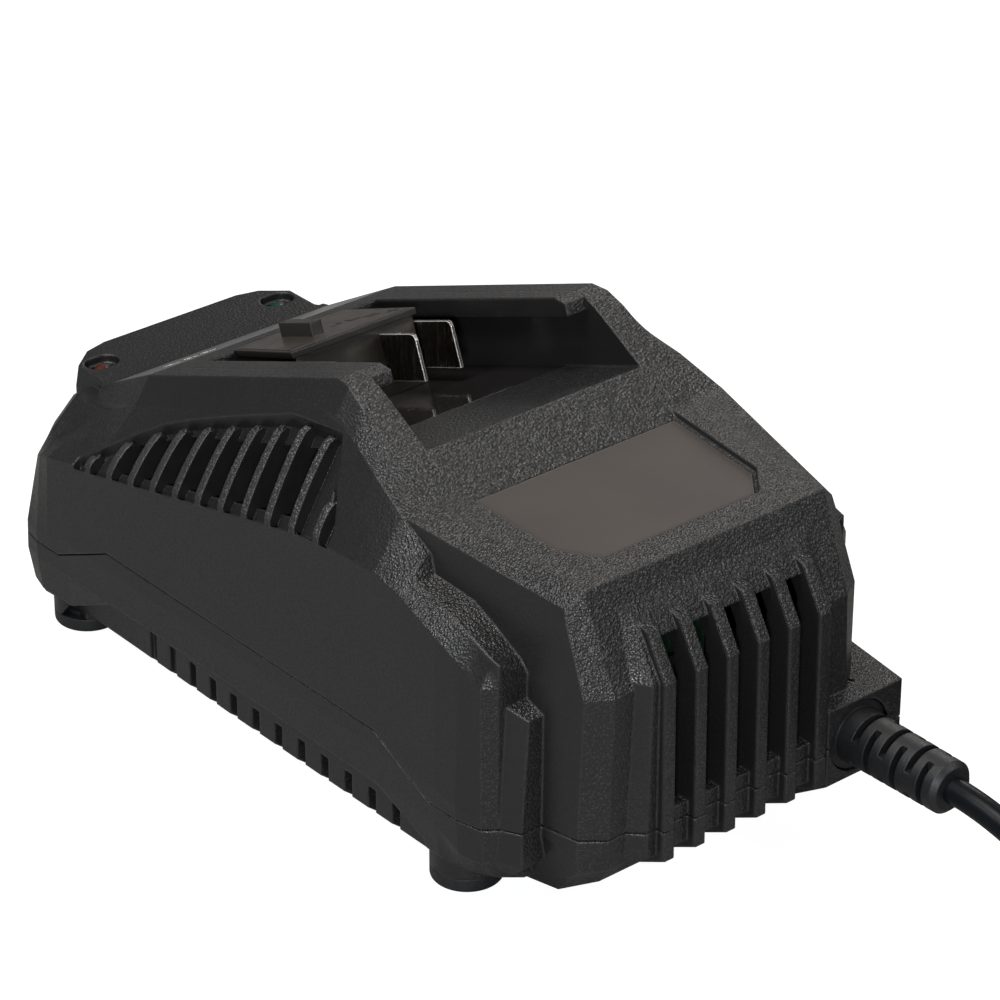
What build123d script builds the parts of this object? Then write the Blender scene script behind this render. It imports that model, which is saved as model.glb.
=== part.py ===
"""Charger for slide-on power tool batteries: a two-part moulded case, the battery seat
with its contact blades, the electronics inside, and the mains lead.

Units are millimetres. X is the width, the vented front faces -Y, and Z is up from the
surface that the four feet stand on. Two working measures are used for the case:
"behind" is the distance behind the front face, and "above" is the height above the
parting plane of the two shells.
"""
from build123d import *
import math
import os

os.makedirs("parts", exist_ok=True)

# ---------------------------------------------------------------- driving dimensions
FOOT_HEIGHT = 3.5            # rubber foot below the case
CASE_DEPTH = 18.5            # lower shell below the parting plane
PARTING_Z = FOOT_HEIGHT + CASE_DEPTH
CASE_BACK = 204.0            # rear face behind the front face
FIN_REACH = 5.5              # front fins ahead of the front face
MID_Y = (CASE_BACK - FIN_REACH) / 2
WALL = 2.4                   # moulded wall
FIT = 0.3                    # clearance round a piece that drops into a pocket
SEAM_GAP = 0.4               # shadow gap that shows round the parting line
SEAM_DEPTH = 1.2             # how far that gap reaches into the wall
PARTING_STEP = 9.3           # rise of the parting line along each flank

FLANK_HALF = 55.0            # half width at the flanks
SPINE_HALF = 40.0            # half width of the narrow front body
SPINE_CHAMFER = 5.1          # front corners of the narrow body, along X
SPINE_CHAMFER_DEPTH = 4.3    # the same, along Y
CREASE_UP = 34.5             # height where the front face starts to lean back
DECK_UP = 56.7               # height of the flat deck at its front edge
DECK_FRONT = 9.4             # front edge of the deck
DECK_BACK = 54.8             # back edge of the deck, where the rise to the rails starts
DECK_BACK_UP = 59.7
RISE_BACK = 66.7              # back edge of the rise behind the deck
RISE_UP = 66.6
RAIL_ANGLE = 21.1            # slope of the rails, down towards the back
RAIL_FRONT = 88.6            # highest point of the rails
RAIL_UP = 75.9
RAIL_HALF = 36.6             # outer edge of the rail tops
RAIL_BACK = 161.0            # the slope steepens here
PANEL_UP = 34.5              # level panel that carries the two lights
PANEL_FRONT = 185.0
PANEL_HALF = 33.0

SEAT_DEPTH = 18.0            # floor of the battery channel under the rail tops
SEAT_HALF = 30.8             # half width between the channel walls
LIP_GAP_HALF = 25.1          # half width between the rail lips
LIP_THICK = 4.5
LIP_START = -3.6             # lips start this far along the slope
CHANNEL_END = 70.0           # back wall of the channel, along the slope
SEAM_ALONG = 9.6             # front edge of the glossy insert, along the slope
INSERT_THICK = 2.6
LEDGE = 3.0                  # shelf that the insert rests on

BLOCK_HALF = 18.2            # contact block
BLOCK_BACK_HALF = 16.6
BLOCK_FRONT = 44.6           # along the slope
BLOCK_BACK = 72.4
COVER_THICK = 1.6
BLADE_THICK = 0.8
BLADE_LENGTH = 13.2
BLADE_TOP = 3.2              # below the rail tops
BLADE_ROUND = 1.4            # upper front corner of each blade
BLADE_HEIGHT = 11.4
BLADE_PLACES = {"blade_positive": -15.2, "blade_sense": 7.4, "blade_negative": 18.0}
BLADE_TAIL = 9.0
BLADE_TAIL_WIDTH = 5.0

LABEL_DEPTH = 2.0             # floor of the plate's seat below the deck's borders
LABEL_THICK = 0.6
DECK_SINK = LABEL_DEPTH - LABEL_THICK   # middle of the deck below its borders
BORDER_SET = 0.9              # borders stand back from the plate by this

FIN_COUNT = 6
FIN_PITCH = 8.94
FIN_THICK = 3.4
FIN_ROUND = 0.6
FIN_FOOT = -7.6              # lower tips of the fins, above the parting plane
GRILLE_HALF = 26.7
GRILLE_PROUD = 3.2
GRILLE_CHAMFER = 3.1
VENT_SILL = 3.4
VENT_HEAD = 44.0

LOUVRE_COUNT = 11
LOUVRE_PITCH = 8.75
LOUVRE_FIRST = 75.1
LOUVRE_THICK = 1.8
LOUVRE_DEPTH = 2.6
LOUVRE_RUNOUT = 0.11          # share of the slope over which the recess runs out
LOUVRE_OPEN = (1, 9)         # gaps between these fins open into the case

SKIRT_DEPTH = 1.8
SLOT_COUNT = 12
SLOT_PITCH = 8.5
SLOT_FIRST = 48.1
SLOT_WIDTH = 2.9
SLOT_TOP = -8.0
SLOT_HEIGHT = 9.0

BOSS_LEFT = 25.6
BOSS_RIGHT = 48.0
BOSS_REACH = 4.0             # cord boss ahead of the front face
BOSS_UP = 9.6
CORD_X = 35.3
CORD_D = 6.2
GLAND_COLLAR_D = 17.0
GLAND_D = 13.4
GLAND_TIP_D = 12.6
GLAND_LENGTH = 29.0
GLAND_FLANGE_D = 21.0

FOOT_D = 16.6
FOOT_X = 45.0
FOOT_FRONT = 35.0
FOOT_BACK = 179.0

LED_X = 26.5
LED_BEHIND = 195.5
LED_D = 5.0
LED_WELL_LENGTH = 9.0
LED_WELL_WIDTH = 6.4
LED_WELL_DEPTH = 2.2


def at(behind):
    """Y of a place that far behind the front face."""
    return behind - MID_Y


def up(above):
    """Z of a place that high above the parting plane."""
    return PARTING_Z + above


# ---------------------------------------------------------------- working planes
slope_sin = math.sin(math.radians(RAIL_ANGLE))
slope_cos = math.cos(math.radians(RAIL_ANGLE))
SLOPE = Plane(origin=(0, at(RAIL_FRONT), up(RAIL_UP)), x_dir=(1, 0, 0),
              z_dir=(0, slope_sin, slope_cos))


def rail_height(behind):
    """Height of the rail tops above the parting plane."""
    return RAIL_UP - (behind - RAIL_FRONT) * math.tan(math.radians(RAIL_ANGLE))


def slope_box(x0, x1, y0, y1, z0, z1):
    """Box set square to the rails: y runs along them to the back, z is off their tops."""
    middle = Pos((x0 + x1) / 2, (y0 + y1) / 2, (z0 + z1) / 2)
    return SLOPE * middle * Box(x1 - x0, y1 - y0, z1 - z0)


def block(x0, x1, y0, y1, z0, z1):
    """Box by its corners, with y as behind and z as above."""
    middle = Pos((x0 + x1) / 2, at((y0 + y1) / 2), up((z0 + z1) / 2))
    return middle * Box(x1 - x0, y1 - y0, z1 - z0)


def inset_outline(points, inset):
    """Move every side of a closed counter-clockwise outline inwards."""
    if inset == 0:
        return points
    moved = []
    count = len(points)
    for i in range(count):
        ax, ay = points[i - 1]
        bx, by = points[i]
        cx, cy = points[(i + 1) % count]
        first = math.hypot(bx - ax, by - ay)
        second = math.hypot(cx - bx, cy - by)
        n1 = (-(by - ay) / first, (bx - ax) / first)
        n2 = (-(cy - by) / second, (cx - bx) / second)
        share = inset / (1 + n1[0] * n2[0] + n1[1] * n2[1])
        moved.append((bx + (n1[0] + n2[0]) * share, by + (n1[1] + n2[1]) * share))
    return moved


def cross_section(behind, half, inset=0.0):
    """Face across the case from a right-hand outline that runs from bottom to top."""
    outline = half + [(-x, z) for x, z in reversed(half)]
    points = [(x, up(z)) for x, z in inset_outline(outline, inset)]
    plane = Plane(origin=(0, at(behind), 0), x_dir=(1, 0, 0), z_dir=(0, -1, 0))
    return make_face(plane * Polyline(*points, close=True))


def loft_along(sections, inset=0.0):
    """Ruled body through cross sections given as (behind, right-hand outline)."""
    last = len(sections) - 1
    faces = []
    for i, (behind, half) in enumerate(sections):
        shift = inset if i == 0 else -inset if i == last else 0.0
        faces.append(cross_section(behind + shift, half, inset))
    return loft(faces, ruled=True)


def loft_up(sections, inset=0.0):
    """Ruled body through plan outlines given as (above, right-hand outline)."""
    faces = []
    for above, half in sections:
        outline = half + [(-x, y) for x, y in reversed(half)]
        points = [(x, at(y)) for x, y in inset_outline(outline, inset)]
        plane = Plane(origin=(0, 0, up(above)), x_dir=(1, 0, 0), z_dir=(0, 0, 1))
        faces.append(make_face(plane * Polyline(*points, close=True)))
    return loft(faces, ruled=True)


def prism(plane, outline, height):
    """Solid of an outline on a plane, raised along the plane's normal."""
    return extrude(make_face(plane * Polyline(*outline, close=True)), height,
                   dir=plane.z_dir)


def side_prism(points, x0, x1):
    """Solid of an outline seen from the side: points are (behind, above)."""
    plane = Plane(origin=(x0, 0, 0), x_dir=(0, 1, 0), z_dir=(1, 0, 0))
    return prism(plane, [(at(y), up(z)) for y, z in points], x1 - x0)


def both_sides(shape):
    """The shape and its mirror image on the other flank."""
    return shape + mirror(shape, about=Plane.YZ)


# ---------------------------------------------------------------- outer form of the case
BOTTOM = -CASE_DEPTH
deck_slope = (DECK_BACK_UP - DECK_UP) / (DECK_BACK - DECK_FRONT)
RAIL_BACK_UP = rail_height(RAIL_BACK)

SPINE_SECTIONS = [
    (-8.0, [(36.9, BOTTOM), (SPINE_HALF, 0), (39.3, CREASE_UP), (35.1, 50.7),
            (33.0, DECK_UP - (DECK_FRONT + 8.0) * deck_slope)]),
    (DECK_BACK, [(44.0, BOTTOM), (47.0, 0), (46.8, 45.0), (46.1, DECK_BACK_UP - 0.3),
                 (38.3, DECK_BACK_UP)]),
    (RISE_BACK, [(44.0, BOTTOM), (45.0, 0), (45.0, 45.0), (44.1, 64.1), (38.1, RISE_UP)]),
    (79.0, [(42.0, BOTTOM), (43.0, 0), (43.0, 45.0), (41.5, 67.8), (37.8, 73.4)]),
    (84.0, [(41.8, BOTTOM), (42.6, 0), (42.6, 45.0), (41.2, 69.7), (37.2, RAIL_UP - 0.2)]),
    (RAIL_FRONT, [(41.6, BOTTOM), (42.4, 0), (42.4, 45.0), (41.0, RAIL_UP - 6.3),
                  (RAIL_HALF, RAIL_UP)]),
    (RAIL_BACK, [(41.6, BOTTOM), (42.4, 0), (42.4, 25.0), (41.0, RAIL_BACK_UP - 6.7),
                 (RAIL_HALF, RAIL_BACK_UP)]),
    (PANEL_FRONT, [(40.0, BOTTOM), (41.0, 0), (41.0, 15.0), (37.0, 31.5),
                   (PANEL_HALF + 0.5, PANEL_UP)]),
    (187.5, [(32.0, BOTTOM), (PANEL_HALF, 0), (PANEL_HALF, 15.0),
             (PANEL_HALF, PANEL_UP - 5.0), (PANEL_HALF - 1.0, PANEL_UP)]),
    (197.5, [(32.0, BOTTOM), (PANEL_HALF, 0), (PANEL_HALF, 15.0),
             (PANEL_HALF, PANEL_UP - 5.0), (PANEL_HALF - 1.0, PANEL_UP)]),
    (202.5, [(26.5, BOTTOM), (27.0, 0), (27.0, 15.0), (27.0, PANEL_UP - 5.0),
             (26.0, PANEL_UP)]),
    (CASE_BACK, [(20.5, BOTTOM), (21.0, 0), (21.0, 15.0), (21.0, PANEL_UP - 5.0),
                 (20.0, PANEL_UP)]),
]

FRONT_OUTLINES = [
    (BOTTOM, [(28.5, 10.0), (37.3, 13.4)]),
    (-8.0, [(34.3, 0.5), (40.6, 3.8)]),
    (0.0, [(SPINE_HALF - SPINE_CHAMFER, 0.0), (SPINE_HALF, SPINE_CHAMFER_DEPTH)]),
    (CREASE_UP, [(33.6, 0.0), (39.2, 3.4)]),
    (DECK_UP, [(34.5, DECK_FRONT), (38.6, DECK_FRONT + 3.0)]),
    (82.0, [(35.5, DECK_FRONT + 10.7), (38.0, DECK_FRONT + 13.2)]),
]

FLANK_SECTIONS = [
    (18.2, [(38.0, -16.0), (46.0, -13.2), (49.4, -8.8), (50.2, 2.0), (50.0, 35.0),
            (49.9, 40.8), (39.5, 34.2)]),
    (20.5, [(41.0, -17.5), (48.5, -14.2), (52.3, -9.6), (53.2, 2.0), (53.1, 34.6),
            (50.0, 41.4), (39.4, 37.8)]),
    (27.0, [(45.0, BOTTOM), (51.5, -14.5), (54.0, -9.0), (54.8, 3.0), (53.8, 38.4),
            (50.0, 43.8), (39.8, 43.0)]),
    (34.0, [(47.5, BOTTOM), (53.6, -13.5), (54.6, -4.5), (FLANK_HALF, 5.0), (54.2, 41.8),
            (50.0, 46.1), (41.0, 47.4)]),
    (45.0, [(47.5, BOTTOM), (53.6, -13.5), (54.6, -4.5), (FLANK_HALF, 5.0), (54.2, 46.4),
            (50.0, 48.7), (44.5, 49.0)]),
    (46.5, [(47.5, BOTTOM), (53.6, -13.5), (54.6, -4.5), (FLANK_HALF, 5.0), (54.2, 46.9),
            (50.0, 50.7), (46.4, 53.5)]),
    (DECK_BACK, [(47.5, BOTTOM), (53.6, -13.5), (54.6, -4.5), (FLANK_HALF, 5.0),
                 (54.2, 48.4), (50.2, 53.8), (46.1, DECK_BACK_UP - 0.3)]),
    (66.7, [(47.5, BOTTOM), (53.6, -13.5), (54.6, -4.5), (FLANK_HALF, 5.0), (54.2, 48.0),
            (49.2, 56.0), (44.1, 64.1)]),
    (79.0, [(47.5, BOTTOM), (53.6, -13.5), (54.6, -4.5), (FLANK_HALF, 5.0), (54.2, 47.6),
            (47.9, 57.7), (41.5, 67.8)]),
    (RAIL_FRONT, [(47.5, BOTTOM), (53.6, -13.5), (54.6, -4.5), (FLANK_HALF, 5.0),
                  (54.2, 45.8), (47.6, 57.7), (41.0, RAIL_UP - 6.3)]),
    (RAIL_BACK, [(47.5, BOTTOM), (53.6, -13.5), (54.6, -4.5), (FLANK_HALF, 5.0),
                 (54.2, 28.7), (47.6, 35.0), (41.0, RAIL_BACK_UP - 6.7)]),
    (173.0, [(47.5, BOTTOM), (53.6, -13.5), (54.6, -4.5), (FLANK_HALF, 5.0), (54.1, 26.0),
             (42.2, 33.8), (40.6, 35.0)]),
    (180.0, [(48.0, BOTTOM), (53.8, -13.5), (54.8, -4.5), (FLANK_HALF, 4.0), (53.9, 24.2),
             (44.6, 28.8), (39.6, 33.0)]),
    (185.0, [(49.2, BOTTOM), (53.9, -13.5), (54.9, -4.5), (54.9, 2.0), (52.6, 22.2),
             (47.8, 25.0), (39.0, 32.0)]),
    (190.5, [(49.6, BOTTOM), (52.3, -13.5), (53.9, -4.5), (53.6, 3.0), (49.6, 19.3),
             (45.0, 24.8), (37.0, 32.0)]),
    (198.0, [(41.0, BOTTOM), (44.5, -13.5), (46.3, -4.5), (46.2, 3.0), (43.0, 16.5),
             (39.5, 21.5), (33.5, 27.0)]),
    (CASE_BACK, [(34.0, BOTTOM), (37.5, -13.5), (39.3, -4.5), (39.2, 3.0), (36.2, 14.0),
                 (33.5, 18.0), (29.0, 22.0)]),
]


def case_form(inset=0.0):
    """Whole case without its features, each face moved inwards by the inset."""
    far = 220.0
    wide = 60.0
    outlines = [(above, half + [(wide, 104.0), (wide, far)])
                for above, half in FRONT_OUTLINES]
    spine = loft_along(SPINE_SECTIONS, inset) & loft_up(outlines, inset)
    return spine + loft_along(FLANK_SECTIONS, inset)


def flank_edge(behind):
    """Lower and upper corners of the louvred slope at a place along the case."""
    for (y0, first), (y1, second) in zip(FLANK_SECTIONS, FLANK_SECTIONS[1:]):
        if y0 <= behind <= y1:
            part = (behind - y0) / (y1 - y0)
            blend = [(a[0] + (b[0] - a[0]) * part, a[1] + (b[1] - a[1]) * part)
                     for a, b in zip(first, second)]
            return blend[4], blend[6]


def slope_strip(behind, low, high, depth, runout=0.0):
    """Cross section of a strip of the louvred slope, between two shares of its width."""
    (x0, z0), (x1, z1) = flank_edge(behind)
    length = math.hypot(x1 - x0, z1 - z0)
    out = ((z1 - z0) / length, (x0 - x1) / length)
    proud = 5.0
    corners = []
    ends = [(low, -depth), (low, proud), (high + runout, proud), (high, -depth)]
    if runout:
        ends.insert(3, (high + runout, 0.0))
    for share, offset in ends:
        x = x0 + (x1 - x0) * share + out[0] * offset
        z = z0 + (z1 - z0) * share + out[1] * offset
        corners.append((x, up(z)))
    plane = Plane(origin=(0, at(behind), 0), x_dir=(1, 0, 0), z_dir=(0, -1, 0))
    return make_face(plane * Polyline(*corners, close=True))


# ---------------------------------------------------------------- features of the case
def battery_channel():
    """Space that the battery's slide takes up, open at the front of the rails."""
    deep = slope_box(-SEAT_HALF, SEAT_HALF, -45, CHANNEL_END, -SEAT_DEPTH, -LIP_THICK)
    mouth = slope_box(-SEAT_HALF, SEAT_HALF, -45, LIP_START, -LIP_THICK - 1, 30)
    slot = slope_box(-LIP_GAP_HALF, LIP_GAP_HALF, LIP_START - 1, CHANNEL_END,
                     -LIP_THICK - 1, 30)
    return deep + mouth + slot


def channel_walls():
    """Walls and floor left standing round the channel inside the case."""
    half = SEAT_HALF + WALL
    return slope_box(-half, half, -45, CHANNEL_END + WALL,
                     -SEAT_DEPTH - INSERT_THICK - WALL, 30)


def insert_pocket(gap=0.0):
    """Pocket in the channel floor for the seat insert."""
    half = SEAT_HALF - gap
    return slope_box(-half, half, SEAM_ALONG + gap, CHANNEL_END - gap,
                     -SEAT_DEPTH - INSERT_THICK, -SEAT_DEPTH)


def insert_window():
    """Opening under the insert, smaller than its pocket by a ledge all round."""
    half = SEAT_HALF - LEDGE
    return slope_box(-half, half, SEAM_ALONG + LEDGE, CHANNEL_END - LEDGE,
                     -SEAT_DEPTH - 30, -SEAT_DEPTH)


DECK = Plane(origin=(0, at(DECK_FRONT), up(DECK_UP)), x_dir=(1, 0, 0),
             z_dir=(0, -math.sin(math.atan(deck_slope)), math.cos(math.atan(deck_slope))))
LABEL_OUTLINE = [(21.4, 7.4), (27.8, 15.3), (29.2, 42.6), (-29.2, 42.6), (-27.8, 15.3),
                 (-21.4, 7.4)]


def label_prism(bottom, top, gap=0.0):
    """Plate with the outline of the label, between two depths under the deck."""
    return prism(DECK.offset(-bottom), inset_outline(LABEL_OUTLINE, gap), bottom - top)


def sunk_deck(depth, grow):
    """Room over the middle of the deck, between its side borders."""
    front = LABEL_OUTLINE[:3]
    back = (LABEL_OUTLINE[2][0] + BORDER_SET + grow, DECK_BACK - DECK_FRONT + 1.0)
    right = [(x + BORDER_SET + grow, y - grow) for x, y in front] + [back]
    left = [(-x, y) for x, y in reversed(right)]
    return prism(DECK.offset(-depth), right + left, depth + 4)


def rise_form():
    """Body under the rise behind the plate, carried on down past the deck's borders."""
    slope = (RISE_UP - DECK_BACK_UP) / (RISE_BACK - DECK_BACK)
    start = DECK_BACK - 6.0
    return side_prism([(start, DECK_BACK_UP - 6.0 * slope), (RISE_BACK, RISE_UP),
                       (RISE_BACK, 30.0), (start, 30.0)], -FLANK_HALF, FLANK_HALF)


STRIP_ANGLE = math.atan2(RAIL_BACK_UP - PANEL_UP, PANEL_FRONT - RAIL_BACK)
STRIP_LENGTH = math.hypot(RAIL_BACK_UP - PANEL_UP, PANEL_FRONT - RAIL_BACK)
STRIP = Plane(origin=(0, at(RAIL_BACK), up(RAIL_BACK_UP)), x_dir=(1, 0, 0),
              z_dir=(0, math.sin(STRIP_ANGLE), math.cos(STRIP_ANGLE)))
STRIP_MARGIN = 1.6
STRIP_THICK = 0.5


def strip_prism(thick, gap=0.0):
    """Inlay on the steep slope between the seat and the light panel."""
    near = RAIL_HALF - STRIP_MARGIN - gap
    far = PANEL_HALF - STRIP_MARGIN + 0.5 - gap
    start = STRIP_MARGIN + gap
    end = STRIP_LENGTH - STRIP_MARGIN - gap
    outline = [(near, start), (far, end), (-far, end), (-near, start)]
    return prism(STRIP.offset(-STRIP_THICK), outline, thick)


def grille_block():
    """Proud block round the front vents, with bevelled sides and a bevelled top."""
    face = -GRILLE_PROUD
    half = GRILLE_HALF
    bevel = GRILLE_CHAMFER
    back = 12.0
    sections = [
        (-14.0, [(half, 5.6), (half + bevel, 5.6 + bevel), (half + bevel, back)]),
        (-6.5, [(half, face), (half + bevel, face + bevel), (half + bevel, back)]),
        (0.0, [(half, face), (half + bevel, face + bevel), (half + bevel, back)]),
        (36.2, [(half - 0.8, face), (half + 1.8, 0.8), (half + 1.8, back)]),
        (48.2, [(half - 2.3, 4.4), (half + 1.2, 6.2), (half + 1.2, back)]),
        (51.2, [(half + 1.0, 7.0), (half + 1.1, 7.4), (half + 1.1, back)]),
    ]
    return loft_up(sections)


def fin_places():
    """X of the middle of each front fin."""
    first = -FIN_PITCH * (FIN_COUNT - 1) / 2
    return [first + FIN_PITCH * i for i in range(FIN_COUNT)]


def front_fins():
    """Upright fins across the front vents, from the lower shell to the top bevel."""
    root = WALL
    outline = [(7.0, -14.0), (root, -6.0), (root, 38.0), (8.0, 47.6), (3.8, 47.6),
               (1.0, 46.7), (0.5 - FIN_REACH, 36.5), (-FIN_REACH, FIN_FOOT)]
    fin = side_prism(outline, -FIN_THICK / 2, FIN_THICK / 2)
    tip = at(0.5 - FIN_REACH)
    long_edges = [edge for edge in fin.edges() if edge.length > 9 and
                  edge.center().Y < tip + 6.1 and abs(edge.center().X) > 1]
    fin = fillet(long_edges, FIN_ROUND)
    return [Pos(x, 0, 0) * fin for x in fin_places()]


def front_vents():
    """Openings between the front fins."""
    centres = fin_places()
    gap = FIN_PITCH - FIN_THICK
    vents = []
    for left, right in zip(centres, centres[1:]):
        middle = (left + right) / 2
        vents.append(block(middle - gap / 2, middle + gap / 2, -12, 11, VENT_SILL,
                           VENT_HEAD))
    return vents


def louvre_slabs():
    """Thin upright slabs where the flank louvres stand, ending short of the recess."""
    room = loft([slope_strip(LOUVRE_FIRST + LOUVRE_PITCH * turn, -0.3, reach - 0.01, 3 * WALL)
                 for turn, reach in LOUVRE_REACH], ruled=True)
    slabs = []
    for i in range(LOUVRE_COUNT):
        behind = LOUVRE_FIRST + LOUVRE_PITCH * i
        half = LOUVRE_THICK / 2
        slabs.append(block(30, 60, behind - half, behind + half, 0, 80) & room)
    return slabs


LOUVRE_REACH = [(-0.5, 0.06), (0.62, 0.86), (2.8, 0.85), (5.1, 0.81), (7.0, 0.74),
                (7.95, 0.67), (8.8, 0.53), (9.6, 0.34), (10.7, 0.06)]


def louvre_recess():
    """Shallow recess of one flank, cut back between the louvres."""
    strips = []
    for turn, reach in LOUVRE_REACH:
        behind = LOUVRE_FIRST + LOUVRE_PITCH * turn
        strips.append(slope_strip(behind, -0.03, reach, LOUVRE_DEPTH, LOUVRE_RUNOUT))
    return loft(strips, ruled=True) - louvre_slabs()


def louvre_openings():
    """Openings of one flank between the middle louvres."""
    first, last = LOUVRE_OPEN
    start = LOUVRE_FIRST + LOUVRE_PITCH * first
    end = LOUVRE_FIRST + LOUVRE_PITCH * last
    reach = 0.2
    deep = loft([slope_strip(start, 0.1, 0.76, 3 * WALL),
                 slope_strip(end - 2 * LOUVRE_PITCH, 0.1, 0.68, 3 * WALL),
                 slope_strip(end, 0.1, 0.1 + 2 * reach, 3 * WALL)], ruled=True)
    return deep - louvre_slabs()


def skirt_slots():
    """Small vents low in one flank."""
    slots = []
    for i in range(SLOT_COUNT):
        behind = SLOT_FIRST + SLOT_PITCH * i
        slot = block(50, 60, behind, behind + SLOT_WIDTH, SLOT_TOP - SLOT_HEIGHT, SLOT_TOP)
        slots.append(slot)
    return slots


SKIRT_TOP = -4.6
SKIRT_SIDE = FLANK_HALF - SKIRT_DEPTH
SKIRT_OUTLINE = [(33.0, BOTTOM - 3), (39.5, -11.6), (45.5, -8.6), (54.6, SKIRT_TOP),
                 (155.0, SKIRT_TOP), (176.0, -14.8), (181.0, BOTTOM - 3)]
SKIRT_PLAN = [(SKIRT_SIDE, 30.0), (SKIRT_SIDE, 110.0), (SKIRT_SIDE - 2.4, 150.0),
              (SKIRT_SIDE - 3.4, 185.0)]


def skirt_side(points):
    """Upright body over a plan outline, as long as the step in the flank."""
    plane = Plane(origin=(0, 0, up(BOTTOM - 4)), x_dir=(1, 0, 0), z_dir=(0, 0, 1))
    return prism(plane, [(x, at(y)) for x, y in points], -BOTTOM + 6)


def skirt_recess():
    """Step that sets the vented skirt back under the flank wall."""
    outside = [(70.0, 185.0), (70.0, 30.0)]
    return side_prism(SKIRT_OUTLINE[::-1], 40, 62) & skirt_side(SKIRT_PLAN[::-1] + outside[::-1])


def skirt_wall():
    """Wall of the vented skirt, behind the step."""
    inside = [(x - WALL, y) for x, y in SKIRT_PLAN]
    outline = [(y - 2, z + 3) for y, z in SKIRT_OUTLINE[:3]]
    outline += [(y, z + 3) for y, z in SKIRT_OUTLINE[3:]]
    return side_prism(outline[::-1], 40, 62) & skirt_side(inside + SKIRT_PLAN[::-1])


def upper_half():
    """Everything above the stepped parting line."""
    rise = PARTING_STEP
    outline = [(-40, 0), (36, 0), (54.5, rise), (155.5, rise), (176, 0), (260, 0),
               (260, 120), (-40, 120)]
    return side_prism(outline, -70, 70)


def seam_band():
    """Thin layer under the parting line, for the shadow gap."""
    rise = PARTING_STEP
    gap = SEAM_GAP
    outline = [(-40, 0), (36, 0), (54.5, rise), (155.5, rise), (176, 0), (260, 0),
               (260, -gap), (176, -gap), (155.5, rise - gap), (54.5, rise - gap),
               (36, -gap), (-40, -gap)]
    return side_prism(outline, -70, 70)


def cord_boss():
    """Boss on the right front corner that holds the cord's strain relief."""
    outline = [(-BOSS_REACH, -9.9), (-BOSS_REACH, BOSS_UP), (10.3, BOSS_UP + 2.0),
               (17.0, BOSS_UP + 2.9), (17.0, BOTTOM), (8.8, BOTTOM)]
    return side_prism(outline, BOSS_LEFT, BOSS_RIGHT)


def rib_block():
    """Short upright block between the narrow body and the flank, on both sides."""
    inner = SPINE_HALF - 3.0
    low = [(47.2, 16.5), (48.8, 19.5), (48.8, 27.0)]
    seam = [(47.4, 13.7), (50.2, 18.8), (50.2, 27.0)]
    top = [(45.1, 13.8), (48.2, 18.6), (48.2, 27.0)]
    faces = []
    for above, side in ((-12.0, low), (-8.8, seam), (0.0, seam), (31.0, top)):
        points = [(x, at(y)) for x, y in side + [(inner, 27.0), (inner, side[0][1])]]
        plane = Plane(origin=(0, 0, up(above)), x_dir=(1, 0, 0), z_dir=(0, 0, 1))
        faces.append(make_face(plane * Polyline(*points, close=True)))
    roof = [(12.0, 26.3), (19.0, 30.4), (40.0, 30.4), (40.0, 40.0), (12.0, 40.0)]
    return loft(faces, ruled=True) - side_prism(roof, inner - 1, 60)


def cord_axis(radius, y0, y1):
    """Round bar along the cord's exit, between two places behind the front face."""
    place = Pos(CORD_X, at(y1), up(0)) * Rot(90, 0, 0)
    return place * Cylinder(radius, y1 - y0, align=(Align.CENTER, Align.CENTER, Align.MIN))


FLANGE_START = 1.6
FLANGE_THICK = 2.6


def gland_bore():
    """Stepped bore of the boss: collar hole, flange groove and cord passage."""
    collar = cord_axis(GLAND_COLLAR_D / 2 + FIT, -10, FLANGE_START + 1)
    flange = cord_axis(GLAND_FLANGE_D / 2 + FIT, FLANGE_START - FIT,
                       FLANGE_START + FLANGE_THICK + FIT)
    passage = cord_axis(7.0, FLANGE_START, 13.6)
    return collar + flange + passage + cord_axis(CORD_D / 2 + 1.0, 13.0, 26.0)


# ---------------------------------------------------------------- shells
SCREW_PLACES = [(-42.5, 58.0), (42.5, 58.0), (-33.0, 168.0), (33.0, 168.0)]
SCREW_D = 2.9
SCREW_HEAD_D = 6.4
SCREW_HEAD_H = 2.2
SCREW_SEAT = -8.0            # shoulder that the screw heads pull against
SCREW_LENGTH = 18.0
POST_D = 9.0
POST_JOINT = -2.0            # where the posts of the two shells meet
BOARD_UP = -8.0              # underside of the main board
BOARD_THICK = 1.6
BOARD_HALF = 30.0
BOARD_FRONT = 26.0
BOARD_BACK = 160.0
FLOOR = BOTTOM + WALL
FOOT_RECESS = 1.0
FOOT_STUD_D = 12.0


def pillar(x, behind, radius, low, high):
    """Upright cylinder between two heights above the parting plane."""
    place = Pos(x, at(behind), up(low))
    return place * Cylinder(radius, high - low, align=(Align.CENTER, Align.CENTER, Align.MIN))


def foot_places():
    """Middles of the four feet."""
    return [(side * FOOT_X, behind) for behind in (FOOT_FRONT, FOOT_BACK) for side in (-1, 1)]


def foot_seats():
    """Round pads under the case that carry the feet."""
    return [pillar(x, y, FOOT_D / 2, BOTTOM, BOTTOM + 6.5)
            for x, y in foot_places()]


def boss_room():
    """Room inside the cord boss, behind its bulkhead."""
    start = FLANGE_START + FLANGE_THICK + FIT + WALL
    outline = [(start, BOSS_UP - WALL), (17.0 - WALL, BOSS_UP - WALL),
               (17.0 - WALL, FLOOR), (start + 3.6, FLOOR), (start, FLOOR + 2.6)]
    return side_prism(outline, BOSS_LEFT + WALL, BOSS_RIGHT - WALL)


def well_prism(side, depth, grow=0.0):
    """Oval well round one indicator light."""
    place = Pos(side * LED_X, at(LED_BEHIND), up(PANEL_UP - depth))
    oval = SlotOverall(LED_WELL_LENGTH + grow, LED_WELL_WIDTH + grow)
    return place * extrude(oval, depth + 2.0)


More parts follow.
